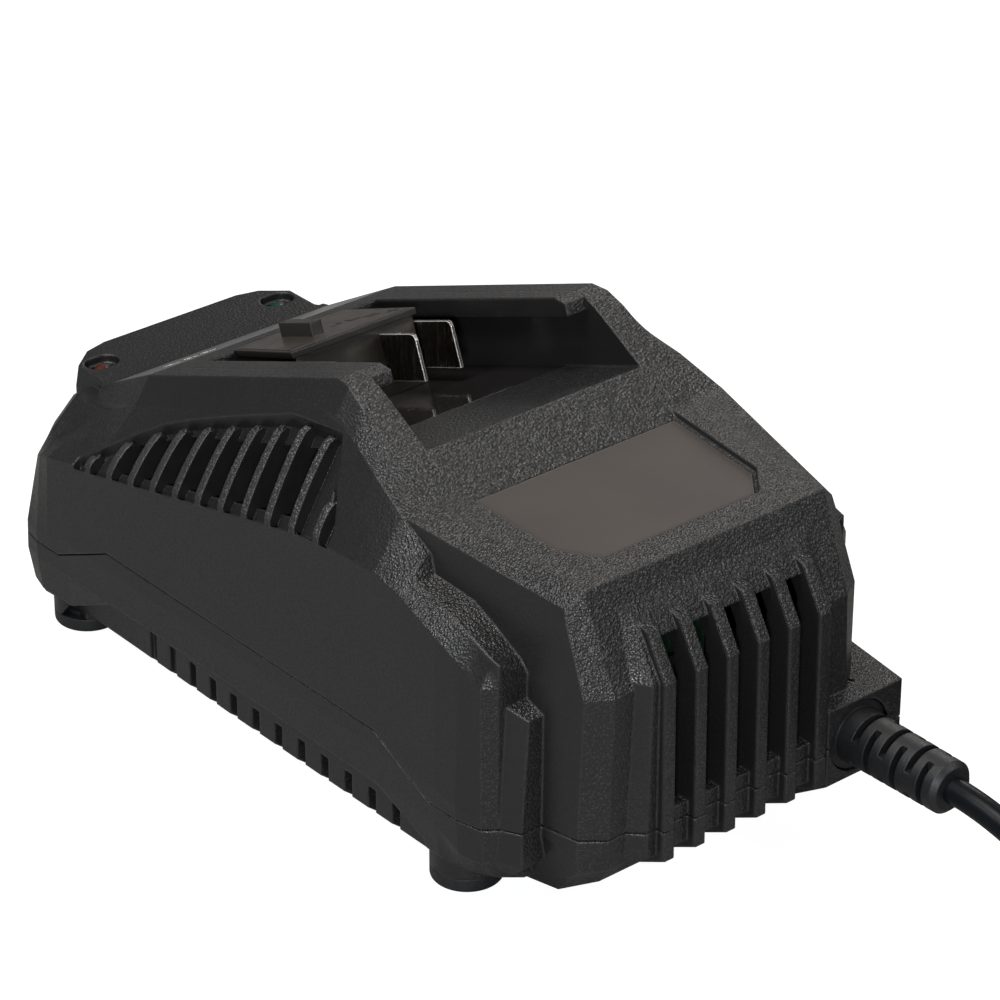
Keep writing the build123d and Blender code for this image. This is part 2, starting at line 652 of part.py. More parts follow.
def case_hollow():
    """Space inside the two shells."""
    bulkhead = block(BOSS_LEFT, BOSS_RIGHT, -BOSS_REACH,
                     FLANGE_START + FLANGE_THICK + FIT + WALL, BOTTOM, BOSS_UP + 3)
    grille_room = block(-GRILLE_HALF + WALL, GRILLE_HALF - WALL, 0, 9, 0, 42)
    hollow = case_form(WALL) - bulkhead - channel_walls() + boss_room()
    kept = [both_sides(louvre_wall()), both_sides(skirt_wall()),
            sunk_deck(LABEL_DEPTH + WALL, WALL / 2),
            well_prism(-1, LED_WELL_DEPTH + WALL, 2 * WALL),
            well_prism(1, LED_WELL_DEPTH + WALL, 2 * WALL)]
    for x, y in SCREW_PLACES:
        kept.append(pillar(x, y, POST_D / 2, BOTTOM, POST_JOINT))
        kept.append(pillar(x, y, POST_D / 2 - 0.5, POST_JOINT, 70))
    for x, y in foot_places():
        kept.append(pillar(x, y, FOOT_D / 2, BOTTOM, BOTTOM + 3.4))
    return hollow - kept + grille_room


def louvre_wall():
    """Wall behind the louvre recess of one flank."""
    start = LOUVRE_FIRST - 0.9 * LOUVRE_PITCH
    end = LOUVRE_FIRST + LOUVRE_PITCH * LOUVRE_COUNT
    depth = LOUVRE_DEPTH + WALL
    return loft([slope_strip(start, -0.1, 0.94, depth),
                 slope_strip(RAIL_FRONT, -0.1, 0.94, depth),
                 slope_strip(end, -0.1, 0.9, depth)], ruled=True)


def shells():
    """Upper and lower shell of the case."""
    outer = case_form() + both_sides(rib_block()) + grille_block() + cord_boss()
    outer = outer + foot_seats()
    body = outer - case_hollow()
    body = body + [fin & block(-60, 60, -20, 9.0, -30, 60) for fin in front_fins()]
    cuts = [battery_channel(), insert_pocket(), insert_window(), cover_recess(),
            sunk_deck(DECK_SINK, 0.0) - rise_form(), label_prism(LABEL_DEPTH, -4),
            strip_prism(STRIP_THICK + 4),
            well_prism(-1, LED_WELL_DEPTH), well_prism(1, LED_WELL_DEPTH), gland_bore()]
    cuts += front_vents()
    for shape in [louvre_recess(), louvre_openings()] + skirt_slots() + [skirt_recess()]:
        cuts += [shape, mirror(shape, about=Plane.YZ)]
    for side in (-1, 1):
        cuts.append(pillar(side * LED_X, LED_BEHIND, LED_D / 2 + FIT, 20, PANEL_UP))
    for x, y in foot_places():
        cuts.append(pillar(x, y, FOOT_STUD_D / 2 + FIT, BOTTOM - 1, BOTTOM + FOOT_RECESS))
    for x, y in SCREW_PLACES:
        cuts.append(pillar(x, y, SCREW_HEAD_D / 2 + 0.5, BOTTOM - 1, SCREW_SEAT))
        cuts.append(pillar(x, y, SCREW_D / 2 + 0.4, SCREW_SEAT - 1, POST_JOINT))
        cuts.append(pillar(x, y, SCREW_D / 2 + FIT, POST_JOINT,
                           SCREW_SEAT + SCREW_LENGTH + 2))
    body = body - cuts
    top = upper_half()
    upper = body & top
    lower = body - top - (seam_band() - case_form(SEAM_DEPTH))
    return upper, lower


def rail_room(side):
    """Room of one guide lip, from the channel wall to the gap between the lips."""
    x0, x1 = sorted((side * (LIP_GAP_HALF - 1), side * SEAT_HALF))
    return slope_box(x0, x1, LIP_START - 1, CHANNEL_END, -LIP_THICK - 0.5, 2)


def main_solids(shape, least=20.0):
    """The shape without stray slivers that the cuts leave."""
    solids = [solid for solid in shape.solids() if solid.volume > least]
    return solids[0] if len(solids) == 1 else Compound(solids)


# ---------------------------------------------------------------- battery seat
def cover_recess():
    """Shelf in the roof behind the channel, under the back of the cover plate."""
    half = BLOCK_BACK_HALF + FIT
    return slope_box(-half, half, CHANNEL_END - 1, BLOCK_BACK + FIT, -COVER_THICK, 5)


def blade_outline():
    """Outline of a contact blade: along the slope, and below the rail tops."""
    front = BLOCK_FRONT - BLADE_LENGTH
    root = BLOCK_FRONT + 15
    bottom = -BLADE_TOP - BLADE_HEIGHT
    tail = BLOCK_FRONT + 8
    end = -SEAT_DEPTH - INSERT_THICK - BLADE_TAIL
    return [(front + BLADE_ROUND, -BLADE_TOP), (root, -BLADE_TOP), (root, bottom),
            (tail + BLADE_TAIL_WIDTH, bottom), (tail + BLADE_TAIL_WIDTH, end), (tail, end),
            (tail, bottom), (front, bottom), (front, -BLADE_TOP - BLADE_ROUND),
            (front + 0.3 * BLADE_ROUND, -BLADE_TOP - 0.3 * BLADE_ROUND)]


def blade(x):
    """Contact blade standing in the channel, with its solder tail under the insert."""
    plane = Plane(origin=SLOPE.from_local_coords(Vector(x - BLADE_THICK / 2, 0, 0)),
                  x_dir=SLOPE.y_dir, z_dir=SLOPE.x_dir)
    return prism(plane, blade_outline(), BLADE_THICK)


def slope_prism(outline, bottom, top):
    """Solid of a plan outline, between two levels of the slope frame."""
    return prism(SLOPE.offset(bottom), outline, top - bottom)


def terminal_block():
    """Insulating block that holds the blades upright."""
    front = BLOCK_FRONT + 0.6
    outline = [(-BLOCK_HALF + 1, front), (BLOCK_HALF - 1, front),
               (BLOCK_BACK_HALF, CHANNEL_END - FIT), (-BLOCK_BACK_HALF, CHANNEL_END - FIT)]
    body = slope_prism(outline, -SEAT_DEPTH, -COVER_THICK)
    return body - [blade(x) for x in BLADE_PLACES.values()]


CODING_RIB = (-6.3, -3.1, 52.4, 65.5, 3.5)


def terminal_cover():
    """Cover plate of the block, with the coding rib that keys the battery."""
    outline = [(-BLOCK_HALF, BLOCK_FRONT), (BLOCK_HALF, BLOCK_FRONT),
               (BLOCK_BACK_HALF, BLOCK_BACK), (-BLOCK_BACK_HALF, BLOCK_BACK)]
    plate = slope_prism(outline, -COVER_THICK, 0)
    left, right, start, end, height = CODING_RIB
    return plate + slope_box(left, right, start, end, -0.5, height)


def seat_insert():
    """Glossy floor of the channel, resting on its ledge."""
    plate = insert_pocket(FIT)
    tails = []
    for x in BLADE_PLACES.values():
        start = BLOCK_FRONT + 8 - FIT
        end = start + BLADE_TAIL_WIDTH + 2 * FIT
        half = BLADE_THICK / 2 + FIT
        tails.append(slope_box(x - half, x + half, start, end, -30, 0))
    return plate - tails


# ---------------------------------------------------------------- electronics
BOARD_TOP = BOARD_UP + BOARD_THICK
BOARD_POSTS = [(-26.0, 30.0), (18.0, 30.0), (-26.0, 154.0), (26.0, 154.0)]


def board_posts():
    """Posts of the lower shell under the main board."""
    return [pillar(x, y, 3.5, FLOOR - 1, BOARD_UP) for x, y in BOARD_POSTS]


def circuit_board():
    """Main board, cut away at the corner where the lead comes in."""
    board = block(-BOARD_HALF, BOARD_HALF, BOARD_FRONT, BOARD_BACK, BOARD_UP, BOARD_TOP)
    board -= block(CORD_X - SADDLE_REACH - 1, BOARD_HALF + 1, BOARD_FRONT - 1,
                   SADDLE_BACK + 2, BOARD_UP - 1, BOARD_TOP + 1)
    return board - [pillar(x, y, 1.6, BOARD_UP - 1, BOARD_TOP + 1) for x, y in BOARD_POSTS]


def machine_screw(x, behind, seat, shank, length, head, head_height, down=True):
    """Cross-slotted pan screw; its head sits on the seat height."""
    way = 1 if down else -1
    top = seat + way * head_height
    low, high = sorted((seat, top))
    body = pillar(x, behind, head / 2, low, high)
    low, high = sorted((seat, seat - way * length))
    body = body + pillar(x, behind, shank / 2, low, high)
    low, high = sorted((top + way, top - way * 0.9 * head_height / 1.6))
    arm = head * 0.33
    cross = block(x - arm, x + arm, behind - 0.4, behind + 0.4, low, high)
    cross += block(x - 0.4, x + 0.4, behind - arm, behind + arm, low, high)
    return body - cross


def board_screws():
    """Screws that hold the main board on its posts."""
    return Compound([machine_screw(x, y, BOARD_TOP, 2.4, 6.0, 5.0, 1.8)
                     for x, y in BOARD_POSTS])


def case_screws():
    """Screws through the lower shell into the posts of the upper one."""
    return Compound([machine_screw(x, y, SCREW_SEAT, SCREW_D, SCREW_LENGTH, SCREW_HEAD_D,
                                   SCREW_HEAD_H, down=False) for x, y in SCREW_PLACES])


CORE = (-21.0, 21.0, 66.0, 96.0, 34.0)


def transformer_core():
    """Ferrite core: two outer legs and a middle one between two yokes."""
    left, right, front, back, height = CORE
    core = block(left, right, front, back, BOARD_TOP, BOARD_TOP + height)
    for side in (-1, 1):
        inner, outer = sorted((side * 6.0, side * 15.0))
        core -= block(inner, outer, front - 1, back + 1, BOARD_TOP + 6,
                      BOARD_TOP + height - 6)
    return core


def transformer_winding():
    """Taped winding round the middle leg of the core."""
    left, right, front, back, height = CORE
    low = BOARD_TOP + 6 + FIT
    high = BOARD_TOP + height - 6 - FIT
    bulge = 7.0
    body = block(-15 + FIT, 15 - FIT, front - bulge, back + bulge, low, high)
    body = fillet(body.edges().filter_by(Axis.Z), 4.0)
    return body - block(-6.0 - FIT, 6.0 + FIT, front - FIT, back + FIT, low - 1, high + 1)


def capacitor(x, behind, radius, height):
    """Upright electrolytic capacitor with a groove near its foot."""
    can = pillar(x, behind, radius, BOARD_TOP, BOARD_TOP + height)
    can = fillet(can.edges().group_by(Axis.Z)[-1], 0.6)
    ring = pillar(x, behind, radius + 1, BOARD_TOP + 3.0, BOARD_TOP + 4.2)
    return can - (ring - pillar(x, behind, radius - 0.6, BOARD_TOP, BOARD_TOP + 9))


def choke():
    """Ring-core filter choke lying on the board."""
    ring = pillar(14.0, 46.0, 10.5, BOARD_TOP, BOARD_TOP + 10)
    ring -= pillar(14.0, 46.0, 4.5, BOARD_TOP - 1, BOARD_TOP + 11)
    return chamfer(ring.edges(), 1.2)


HEAT_SINK_Y = 114.0


def heat_sink():
    """Aluminium plate with upright ribs, standing across the board."""
    back = HEAT_SINK_Y + 3.0
    sink = block(-26, 26, HEAT_SINK_Y, back, BOARD_TOP, BOARD_TOP + 26)
    for i in range(7):
        x = -24.0 + 8.0 * i
        sink += block(x - 0.8, x + 0.8, back - 0.5, back + 7, BOARD_TOP + 3, BOARD_TOP + 26)
    return sink


def power_transistors():
    """Two flat power devices against the heat sink."""
    parts = []
    for x in (-13.0, 13.0):
        body = block(x - 5, x + 5, HEAT_SINK_Y - 4.4, HEAT_SINK_Y, BOARD_TOP + 5,
                     BOARD_TOP + 20)
        for step in (-2.54, 0.0, 2.54):
            body += block(x + step - 0.4, x + step + 0.4, HEAT_SINK_Y - 2.4,
                          HEAT_SINK_Y - 1.8, BOARD_TOP, BOARD_TOP + 5.5)
        parts.append(body)
    return Compound(parts)


FRONT_BOARD = (-25.0, 4.0, 13.5, 15.1)


def front_board():
    """Small upright control board behind the left front vents."""
    left, right, front, back = FRONT_BOARD
    return block(left, right, front, back, FLOOR + 4, 36)


def front_board_parts():
    """Chips on the side of the control board that shows through the vents."""
    left, right, front, back = FRONT_BOARD
    parts = [block(-9.0, -1.0, front - 1.6, front, 14, 24),
             block(-8.0, -5.0, front - 1.2, front, 27, 29),
             block(-3.5, -1.0, front - 1.2, front, 27, 29),
             block(-19.0, -14.0, front - 1.6, front, 10, 15),
             block(-16.0, -13.5, front - 1.2, front, 20, 21.6)]
    return Compound(parts)


def front_board_holders():
    """Slotted posts of the lower shell that hold the control board."""
    left, right, front, back = FRONT_BOARD
    posts = []
    for x in (left, right):
        post = block(x - 2.5, x + 2.5, front - 2, back + 2, FLOOR - 1, FLOOR + 12)
        posts.append(post - block(left, right, front, back, FLOOR + 4, 60))
    return posts


INDICATOR_BOARD = (-31.0, 31.0, 188.5, 201.0)
INDICATOR_UP = PANEL_UP - 14.0


def indicator_board():
    """Narrow board under the light panel that carries both lights."""
    left, right, front, back = INDICATOR_BOARD
    board = block(left, right, front, back, INDICATOR_UP - BOARD_THICK, INDICATOR_UP)
    return board - [pillar(x, LED_BEHIND, 1.6, 0, 60) for x in INDICATOR_POSTS]


INDICATOR_POSTS = (-14.0, 14.0)


def indicator_posts():
    """Posts hanging from the roof that hold the indicator board."""
    return [pillar(x, LED_BEHIND, 3.0, INDICATOR_UP, PANEL_UP - 1) -
            pillar(x, LED_BEHIND, 1.5, INDICATOR_UP - 1, INDICATOR_UP + 8)
            for x in INDICATOR_POSTS]


def indicator_screws():
    """Screws that hold the indicator board up against its posts."""
    return Compound([machine_screw(x, LED_BEHIND, INDICATOR_UP - BOARD_THICK, 2.4, 6.5, 5.0,
                                   1.6, down=False) for x in INDICATOR_POSTS])


def indicator_light(side):
    """Domed light that stands on the indicator board and shows in its well."""
    x = side * LED_X
    top = PANEL_UP - LED_WELL_DEPTH + 1.0
    body = pillar(x, LED_BEHIND, LED_D / 2, INDICATOR_UP + 3, top)
    body = fillet(body.edges().group_by(Axis.Z)[-1], LED_D / 2 - 0.4)
    body += pillar(x, LED_BEHIND, LED_D / 2 + 0.5, INDICATOR_UP + 3, INDICATOR_UP + 4)
    for leg in (-1.27, 1.27):
        body += block(x + leg - 0.3, x + leg + 0.3, LED_BEHIND - 0.3, LED_BEHIND + 0.3,
                      INDICATOR_UP, INDICATOR_UP + 3.2)
    return body


# ---------------------------------------------------------------- lead and its holders
def strain_relief():
    """Moulded bend relief: flange, collar and slit sleeve round the lead."""
    body = cord_axis(GLAND_FLANGE_D / 2, FLANGE_START, FLANGE_START + FLANGE_THICK)
    body += cord_axis(GLAND_COLLAR_D / 2, -BOSS_REACH + 0.6, FLANGE_START + 0.5)
    tip = -BOSS_REACH - GLAND_LENGTH
    place = Pos(CORD_X, at(-BOSS_REACH + 0.8), up(0)) * Rot(90, 0, 0)
    sleeve = Cone(GLAND_D / 2, GLAND_TIP_D / 2, GLAND_LENGTH + 0.8,
                  align=(Align.CENTER, Align.CENTER, Align.MIN))
    sleeve = chamfer(sleeve.edges().group_by(Axis.Z)[-1], 1.2)
    body += place * sleeve
    body += cord_axis(6.3, FLANGE_START + 1, RELIEF_END)
    slits = []
    core = GLAND_D / 2 - 2.6
    for i in range(SLIT_COUNT):
        start = tip + 3.6 + SLIT_PITCH * i
        ring = cord_axis(GLAND_D, start, start + SLIT_WIDTH)
        ring -= cord_axis(core, start - 1, start + SLIT_WIDTH + 1)
        bridge = Box(40, 10, BRIDGE) if i % 2 else Box(BRIDGE, 10, 40)
        slits.append(ring - Pos(CORD_X, at(start), up(0)) * bridge)
    return body - slits


RELIEF_END = 13.0
SLIT_COUNT = 6
SLIT_PITCH = 4.0
SLIT_WIDTH = 1.7
BRIDGE = 5.0


def cord_inside():
    """End of the lead inside the case, from the relief to the clamp."""
    return cord_axis(CORD_D / 2, RELIEF_END, CORD_END)


CORD_END = 40.0
SADDLE_FRONT = 30.0
SADDLE_BACK = 36.0
SADDLE_REACH = 10.0


def cord_saddle():
    """Saddle of the lower shell that the lead lies on."""
    half = SADDLE_REACH
    x0 = CORD_X - half
    x1 = CORD_X + half
    saddle = block(x0, x1, SADDLE_FRONT, SADDLE_BACK, FLOOR - 1, CORD_D / 2)
    saddle -= block(CORD_X - CORD_D / 2 - 0.4, CORD_X + CORD_D / 2 + 0.4, SADDLE_FRONT - 1,
                    SADDLE_BACK + 1, -CORD_D / 2, 20)
    for x in (CORD_X - CLAMP_SCREW, CORD_X + CLAMP_SCREW):
        saddle -= pillar(x, (SADDLE_FRONT + SADDLE_BACK) / 2, 1.5, -8, 20)
    return saddle


CLAMP_SCREW = 6.8
CLAMP_THICK = 3.0


def cord_clamp():
    """Bar screwed down across the lead."""
    middle = (SADDLE_FRONT + SADDLE_BACK) / 2
    half = SADDLE_REACH
    bar = block(CORD_X - half, CORD_X + half, SADDLE_FRONT, SADDLE_BACK, CORD_D / 2,
                CORD_D / 2 + CLAMP_THICK)
    return bar - [pillar(CORD_X + side * CLAMP_SCREW, middle, 1.6, 0, 20)
                  for side in (-1, 1)]


def clamp_screws():
    """The two screws of the clamp."""
    middle = (SADDLE_FRONT + SADDLE_BACK) / 2
    return Compound([machine_screw(CORD_X + side * CLAMP_SCREW, middle,
                                   CORD_D / 2 + CLAMP_THICK, 2.4, 9.0, 5.0, 1.8)
                     for side in (-1, 1)])


def tube(points, radius, bend):
    """Round wire along a route with rounded corners."""
    route = FilletPolyline(*points, radius=bend) if len(points) > 2 else Line(*points)
    start = Plane(origin=route @ 0, z_dir=route % 0)
    return sweep(start * Circle(radius), path=route)


def place(x, behind, above):
    """Point of the shared frame from the two working measures."""
    return (x, at(behind), up(above))


def mains_wires():
    """The two cores of the lead, from its cut end down to the board."""
    wires = []
    for side in (-1, 1):
        x = CORD_X + side * 1.4
        turn = CORD_END + 5.0 + side * 1.5
        wires.append(tube([place(x, CORD_END, 0), place(x, turn, 0), place(27.0, turn, 0),
                           place(27.0, turn, BOARD_TOP)], 1.0, 2.2))
    return Compound(wires)


def terminal_wires():
    """Wires from the tails of the blades down to the board."""
    wires = []
    low = -SEAT_DEPTH - INSERT_THICK - BLADE_TAIL
    for x in BLADE_PLACES.values():
        along = BLOCK_FRONT + 8 + BLADE_TAIL_WIDTH / 2
        top = SLOPE.from_local_coords(Vector(x, along, low))
        bend = SLOPE.from_local_coords(Vector(x, along, low - 5))
        foot = Vector(x, at(146.0), up(BOARD_TOP))
        above_foot = Vector(x, at(146.0), up(BOARD_TOP + 8))
        wires.append(tube([top, bend, above_foot, foot], 1.1, 2.4))
    return Compound(wires)


# ---------------------------------------------------------------- lead outside the case
DESK = -PARTING_Z
CORD_R = CORD_D / 2
ON_DESK = DESK + CORD_R
COIL_TURNS = 3
COIL_LAYERS = 3
COIL_MEAN_D = 10 * CORD_D
COIL_X = 101.0
COIL_BEHIND = -44.4
STUB = 24.0                  # straight run into the outermost turn
RELIEF_TIP = -BOSS_REACH - GLAND_LENGTH


def coil_radii():
    """Inner and outer radius of the coiled lead."""
    width = COIL_TURNS * CORD_D
    return COIL_MEAN_D / 2 - width / 2, COIL_MEAN_D / 2 + width / 2


def cord_route():
    """Route of the lead from the relief's tip to the coil's outermost turn."""
    outer = coil_radii()[1] - CORD_R
    entry = COIL_BEHIND - outer
    return [(CORD_X, RELIEF_TIP, 0.0), (CORD_X, RELIEF_TIP - 8.0, 0.0),
            (CORD_X + 0.7, RELIEF_TIP - 21.5, -3.6), (CORD_X + 5.3, RELIEF_TIP - 34.3, -12.1),
            (CORD_X + 16.3, RELIEF_TIP - 44.2, -18.1), (CORD_X + 31.7, entry, ON_DESK),
            (COIL_X - STUB, entry, ON_DESK)]


def bend_radii(points):
    """Largest bend that fits each corner of a route."""
    radii = []
    for a, b, c in zip(points, points[1:], points[2:]):
        first = Vector(*b) - Vector(*a)
        second = Vector(*c) - Vector(*b)
        turn = math.radians(first.get_angle(second))
        shorter = min(first.length, second.length)
        radii.append(0.45 * shorter / math.tan(turn / 2))
    return radii


def checked_tube(name, route):
    """Lead along a route, with its bends and volume reported."""
    points = [place(*point) for point in route]
    radii = bend_radii(points)
    path = FilletPolyline(*points, radius=radii)
    solid = sweep(Plane(origin=path @ 0, z_dir=path % 0) * Circle(CORD_R), path=path)
    wanted = math.pi * CORD_R ** 2 * path.length
    print(name, "bend radii", [round(radius, 1) for radius in radii],
          "length", round(path.length, 1), "volume ratio", round(solid.volume / wanted, 4))
    return solid


PLUG_THICK = 13.7
COIL_TOP = DESK + COIL_LAYERS * CORD_D
PLUG_MID = COIL_TOP + PLUG_THICK / 2
PLUG_WIDTH = 35.3
PLUG_LENGTH = 36.0
PIN_D = 4.0
PIN_LENGTH = 19.0
PIN_SPACING = 19.0
PLUG_X = COIL_X + 24.0
PLUG_START = COIL_BEHIND - 0.5


def tail_route():
    """Route of the lead over the top of the coil to the plug lying on it."""
    lying = COIL_TOP + CORD_R - 0.3
    return [(COIL_X - 24.5, COIL_BEHIND - 28.5, lying), (COIL_X - 11.5, COIL_BEHIND - 36.0, lying),
            (COIL_X + 3.5, COIL_BEHIND - 36.0, lying + 1.0),
            (COIL_X + 16.5, COIL_BEHIND - 28.5, lying + 3.0),
            (PLUG_X, COIL_BEHIND - 15.5, PLUG_MID), (PLUG_X, PLUG_START, PLUG_MID)]


def ring_solid(inner, outer, low, high):
    """Flat ring round the middle of the coil."""
    ring = pillar(COIL_X, COIL_BEHIND, outer, low, high)
    return ring - pillar(COIL_X, COIL_BEHIND, inner, low - 1, high + 1)


def cord_coil():
    """Coiled rest of the lead as one body, with the end that runs over it to the plug."""
    inner, outer = coil_radii()
    ring = ring_solid(inner, outer, DESK, COIL_TOP)
    ring = fillet(ring.edges(), CORD_R - 0.2)
    entry = Pos(*place(COIL_X - STUB, COIL_BEHIND - outer + CORD_R, ON_DESK))
    ring += entry * Rot(0, 90, 0) * Cylinder(CORD_R, STUB, align=AT_BASE)
    return ring + checked_tube("coil end", tail_route())


AT_BASE = (Align.CENTER, Align.CENTER, Align.MIN)
TIE_WIDTH = 9.0
TIE_THICK = 1.2
TIE_BEHIND = COIL_BEHIND


def cord_tie():
    """Strap round the bundle on the side of the coil that faces the case."""
    inner, outer = coil_radii()
    x0 = COIL_X - outer
    x1 = COIL_X - inner
    top = COIL_TOP
    half = TIE_WIDTH / 2
    loop = block(x0 - TIE_THICK, x1 + TIE_THICK, TIE_BEHIND - half, TIE_BEHIND + half,
                 DESK, top + TIE_THICK)
    return loop - cord_coil()


def plug_body():
    """Flat two-pole plug body lying beside the coil."""
    x = PLUG_X
    start = PLUG_START
    half = PLUG_WIDTH / 2
    neck = 8.0
    outline = [(x - 6, at(start)), (x + 6, at(start)), (x + half, at(start + neck)),
               (x + half, at(start + PLUG_LENGTH - 9)), (x + half - 5, at(start + PLUG_LENGTH)),
               (x - half + 5, at(start + PLUG_LENGTH)),
               (x - half, at(start + PLUG_LENGTH - 9)), (x - half, at(start + neck))]
    plane = Plane(origin=(0, 0, up(COIL_TOP)), x_dir=(1, 0, 0), z_dir=(0, 0, 1))
    body = prism(plane, outline, PLUG_THICK)
    return chamfer(body.edges().group_by(Axis.Z)[-1] + body.edges().group_by(Axis.Z)[0], 1.6)


def plug_pins():
    """The two pins of the plug, sleeved over the first half of their length."""
    start = PLUG_START + PLUG_LENGTH
    pins = []
    for side in (-1, 1):
        pin = Pos(*place(PLUG_X + side * PIN_SPACING / 2, start, PLUG_MID)) * Rot(-90, 0, 0)
        body = Cylinder(PIN_D / 2, PIN_LENGTH, align=AT_BASE)
        pins.append(pin * fillet(body.edges().group_by(Axis.Z)[-1], 1.2))
    return Compound(pins)


# ---------------------------------------------------------------- small pieces and export
def rubber_foot(x, behind):
    """Rubber foot with a rounded rim, its stud pressed into the case."""
    foot = pillar(x, behind, FOOT_D / 2, DESK, BOTTOM)
    foot = fillet(foot.edges().group_by(Axis.Z)[0], 1.0)
    return foot + pillar(x, behind, FOOT_STUD_D / 2, BOTTOM, BOTTOM + FOOT_RECESS)


def label_plate():
    """Bare plate in the recess of the deck."""
    return label_prism(LABEL_DEPTH, LABEL_DEPTH - LABEL_THICK, FIT)


upper, lower = shells()
upper += indicator_posts()
for extra in board_posts() + front_board_holders() + [cord_saddle()]:
    lower += extra
lower -= [pillar(x, y, 1.5, FLOOR, BOARD_UP + 1) for x, y in BOARD_POSTS]

rails = {side: main_solids(upper & rail_room(side)) for side in (-1, 1)}
upper -= [rail_room(-1), rail_room(1)]

NODES = {
    "upper_shell": main_solids(upper),
    "rail_left": rails[-1],
    "rail_right": rails[1],
    "lower_shell": main_solids(lower),
    "seat_insert": seat_insert(),
    "terminal_block": terminal_block(),
    "terminal_cover": terminal_cover(),
    "legend_strip": strip_prism(STRIP_THICK, FIT),
    "label_plate": label_plate(),
    "light_red": indicator_light(-1),
    "light_green": indicator_light(1),
    "indicator_board": indicator_board(),
    "indicator_screws": indicator_screws(),
    "case_screws": case_screws(),
    "circuit_board": circuit_board(),
    "board_screws": board_screws(),
    "front_board": front_board(),
    "front_board_parts": front_board_parts(),
    "transformer_core": transformer_core(),
    "transformer_winding": transformer_winding(),
    "mains_capacitor": capacitor(-14.0, 46.0, 11.0, 32.0),
    "output_capacitors": Compound([capacitor(-4.0, 138.0, 6.3, 22.0),
                                   capacitor(24.3, 138.0, 5.0, 20.0)]),
    "choke": choke(),
    "fuse": block(-18.0, -9.5, 27.5, 33.5, BOARD_TOP, BOARD_TOP + 7),
    "heat_sink": heat_sink(),
    "power_transistors": power_transistors(),
    "terminal_wires": terminal_wires(),
    "mains_wires": mains_wires(),
    "cord_inside": cord_inside(),
    "cord_clamp": cord_clamp(),
    "clamp_screws": clamp_screws(),
    "strain_relief": strain_relief(),
    "mains_cord": checked_tube("mains_cord", cord_route()),
    "cord_coil": cord_coil(),
    "cord_tie": cord_tie(),
    "plug_body": plug_body(),
    "plug_pins": plug_pins(),
}
for name, x in BLADE_PLACES.items():
    NODES[name] = blade(x)
for number, (x, behind) in enumerate(foot_places(), start=1):
    NODES["foot_" + str(number)] = rubber_foot(x, behind)

for name, shape in NODES.items():
    export_step(shape, "parts/" + name + ".step")
    print(name, len(shape.solids()), round(shape.volume, 1), shape.is_valid)
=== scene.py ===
"""Charger for slide-on tool batteries: its finishes, mains lead and small pieces.

Blender works in metres, +Z up, with the front of the charger towards -Y. Places that are
typed here are millimetres across, behind the front face and above the parting plane, as
spot() takes them.
"""
import math

import bmesh
import bpy
from bpy.props import FloatProperty, FloatVectorProperty, IntProperty, PointerProperty
from mathutils import Matrix, Vector


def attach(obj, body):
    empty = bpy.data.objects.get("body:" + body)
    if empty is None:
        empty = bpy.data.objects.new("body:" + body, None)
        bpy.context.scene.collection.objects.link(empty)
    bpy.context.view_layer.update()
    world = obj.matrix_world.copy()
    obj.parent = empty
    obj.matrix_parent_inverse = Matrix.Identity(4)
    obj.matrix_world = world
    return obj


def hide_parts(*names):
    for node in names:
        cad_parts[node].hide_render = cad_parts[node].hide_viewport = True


bl_info = {
    "name": "Battery charger",
    "version": (1, 0, 0),
    "blender": (4, 5, 0),
    "location": "3D View > Sidebar > Charger",
    "description": "Finishes, mains lead and small pieces of a tool battery charger",
    "category": "Object",
}

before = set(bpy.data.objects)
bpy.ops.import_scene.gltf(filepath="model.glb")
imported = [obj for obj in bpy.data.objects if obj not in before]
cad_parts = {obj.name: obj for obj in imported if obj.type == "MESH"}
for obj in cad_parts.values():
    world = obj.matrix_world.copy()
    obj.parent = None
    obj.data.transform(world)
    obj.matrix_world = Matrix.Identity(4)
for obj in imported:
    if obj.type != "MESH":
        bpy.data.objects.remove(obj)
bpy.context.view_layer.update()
BODY = "root"
SHELLS = ("upper_shell", "rail_left", "rail_right")
MIDDLE = 0.09925  # from the front face back to the frame's origin
PARTING = 0.022  # height of the parting plane over the desk
MADE = {}  # finishes and pieces that later steps use again


def spot(x, behind, above):
    """Place from millimetres: across, behind the front face, above the parting plane."""
    return Vector((x / 1000, behind / 1000 - MIDDLE, above / 1000 + PARTING))


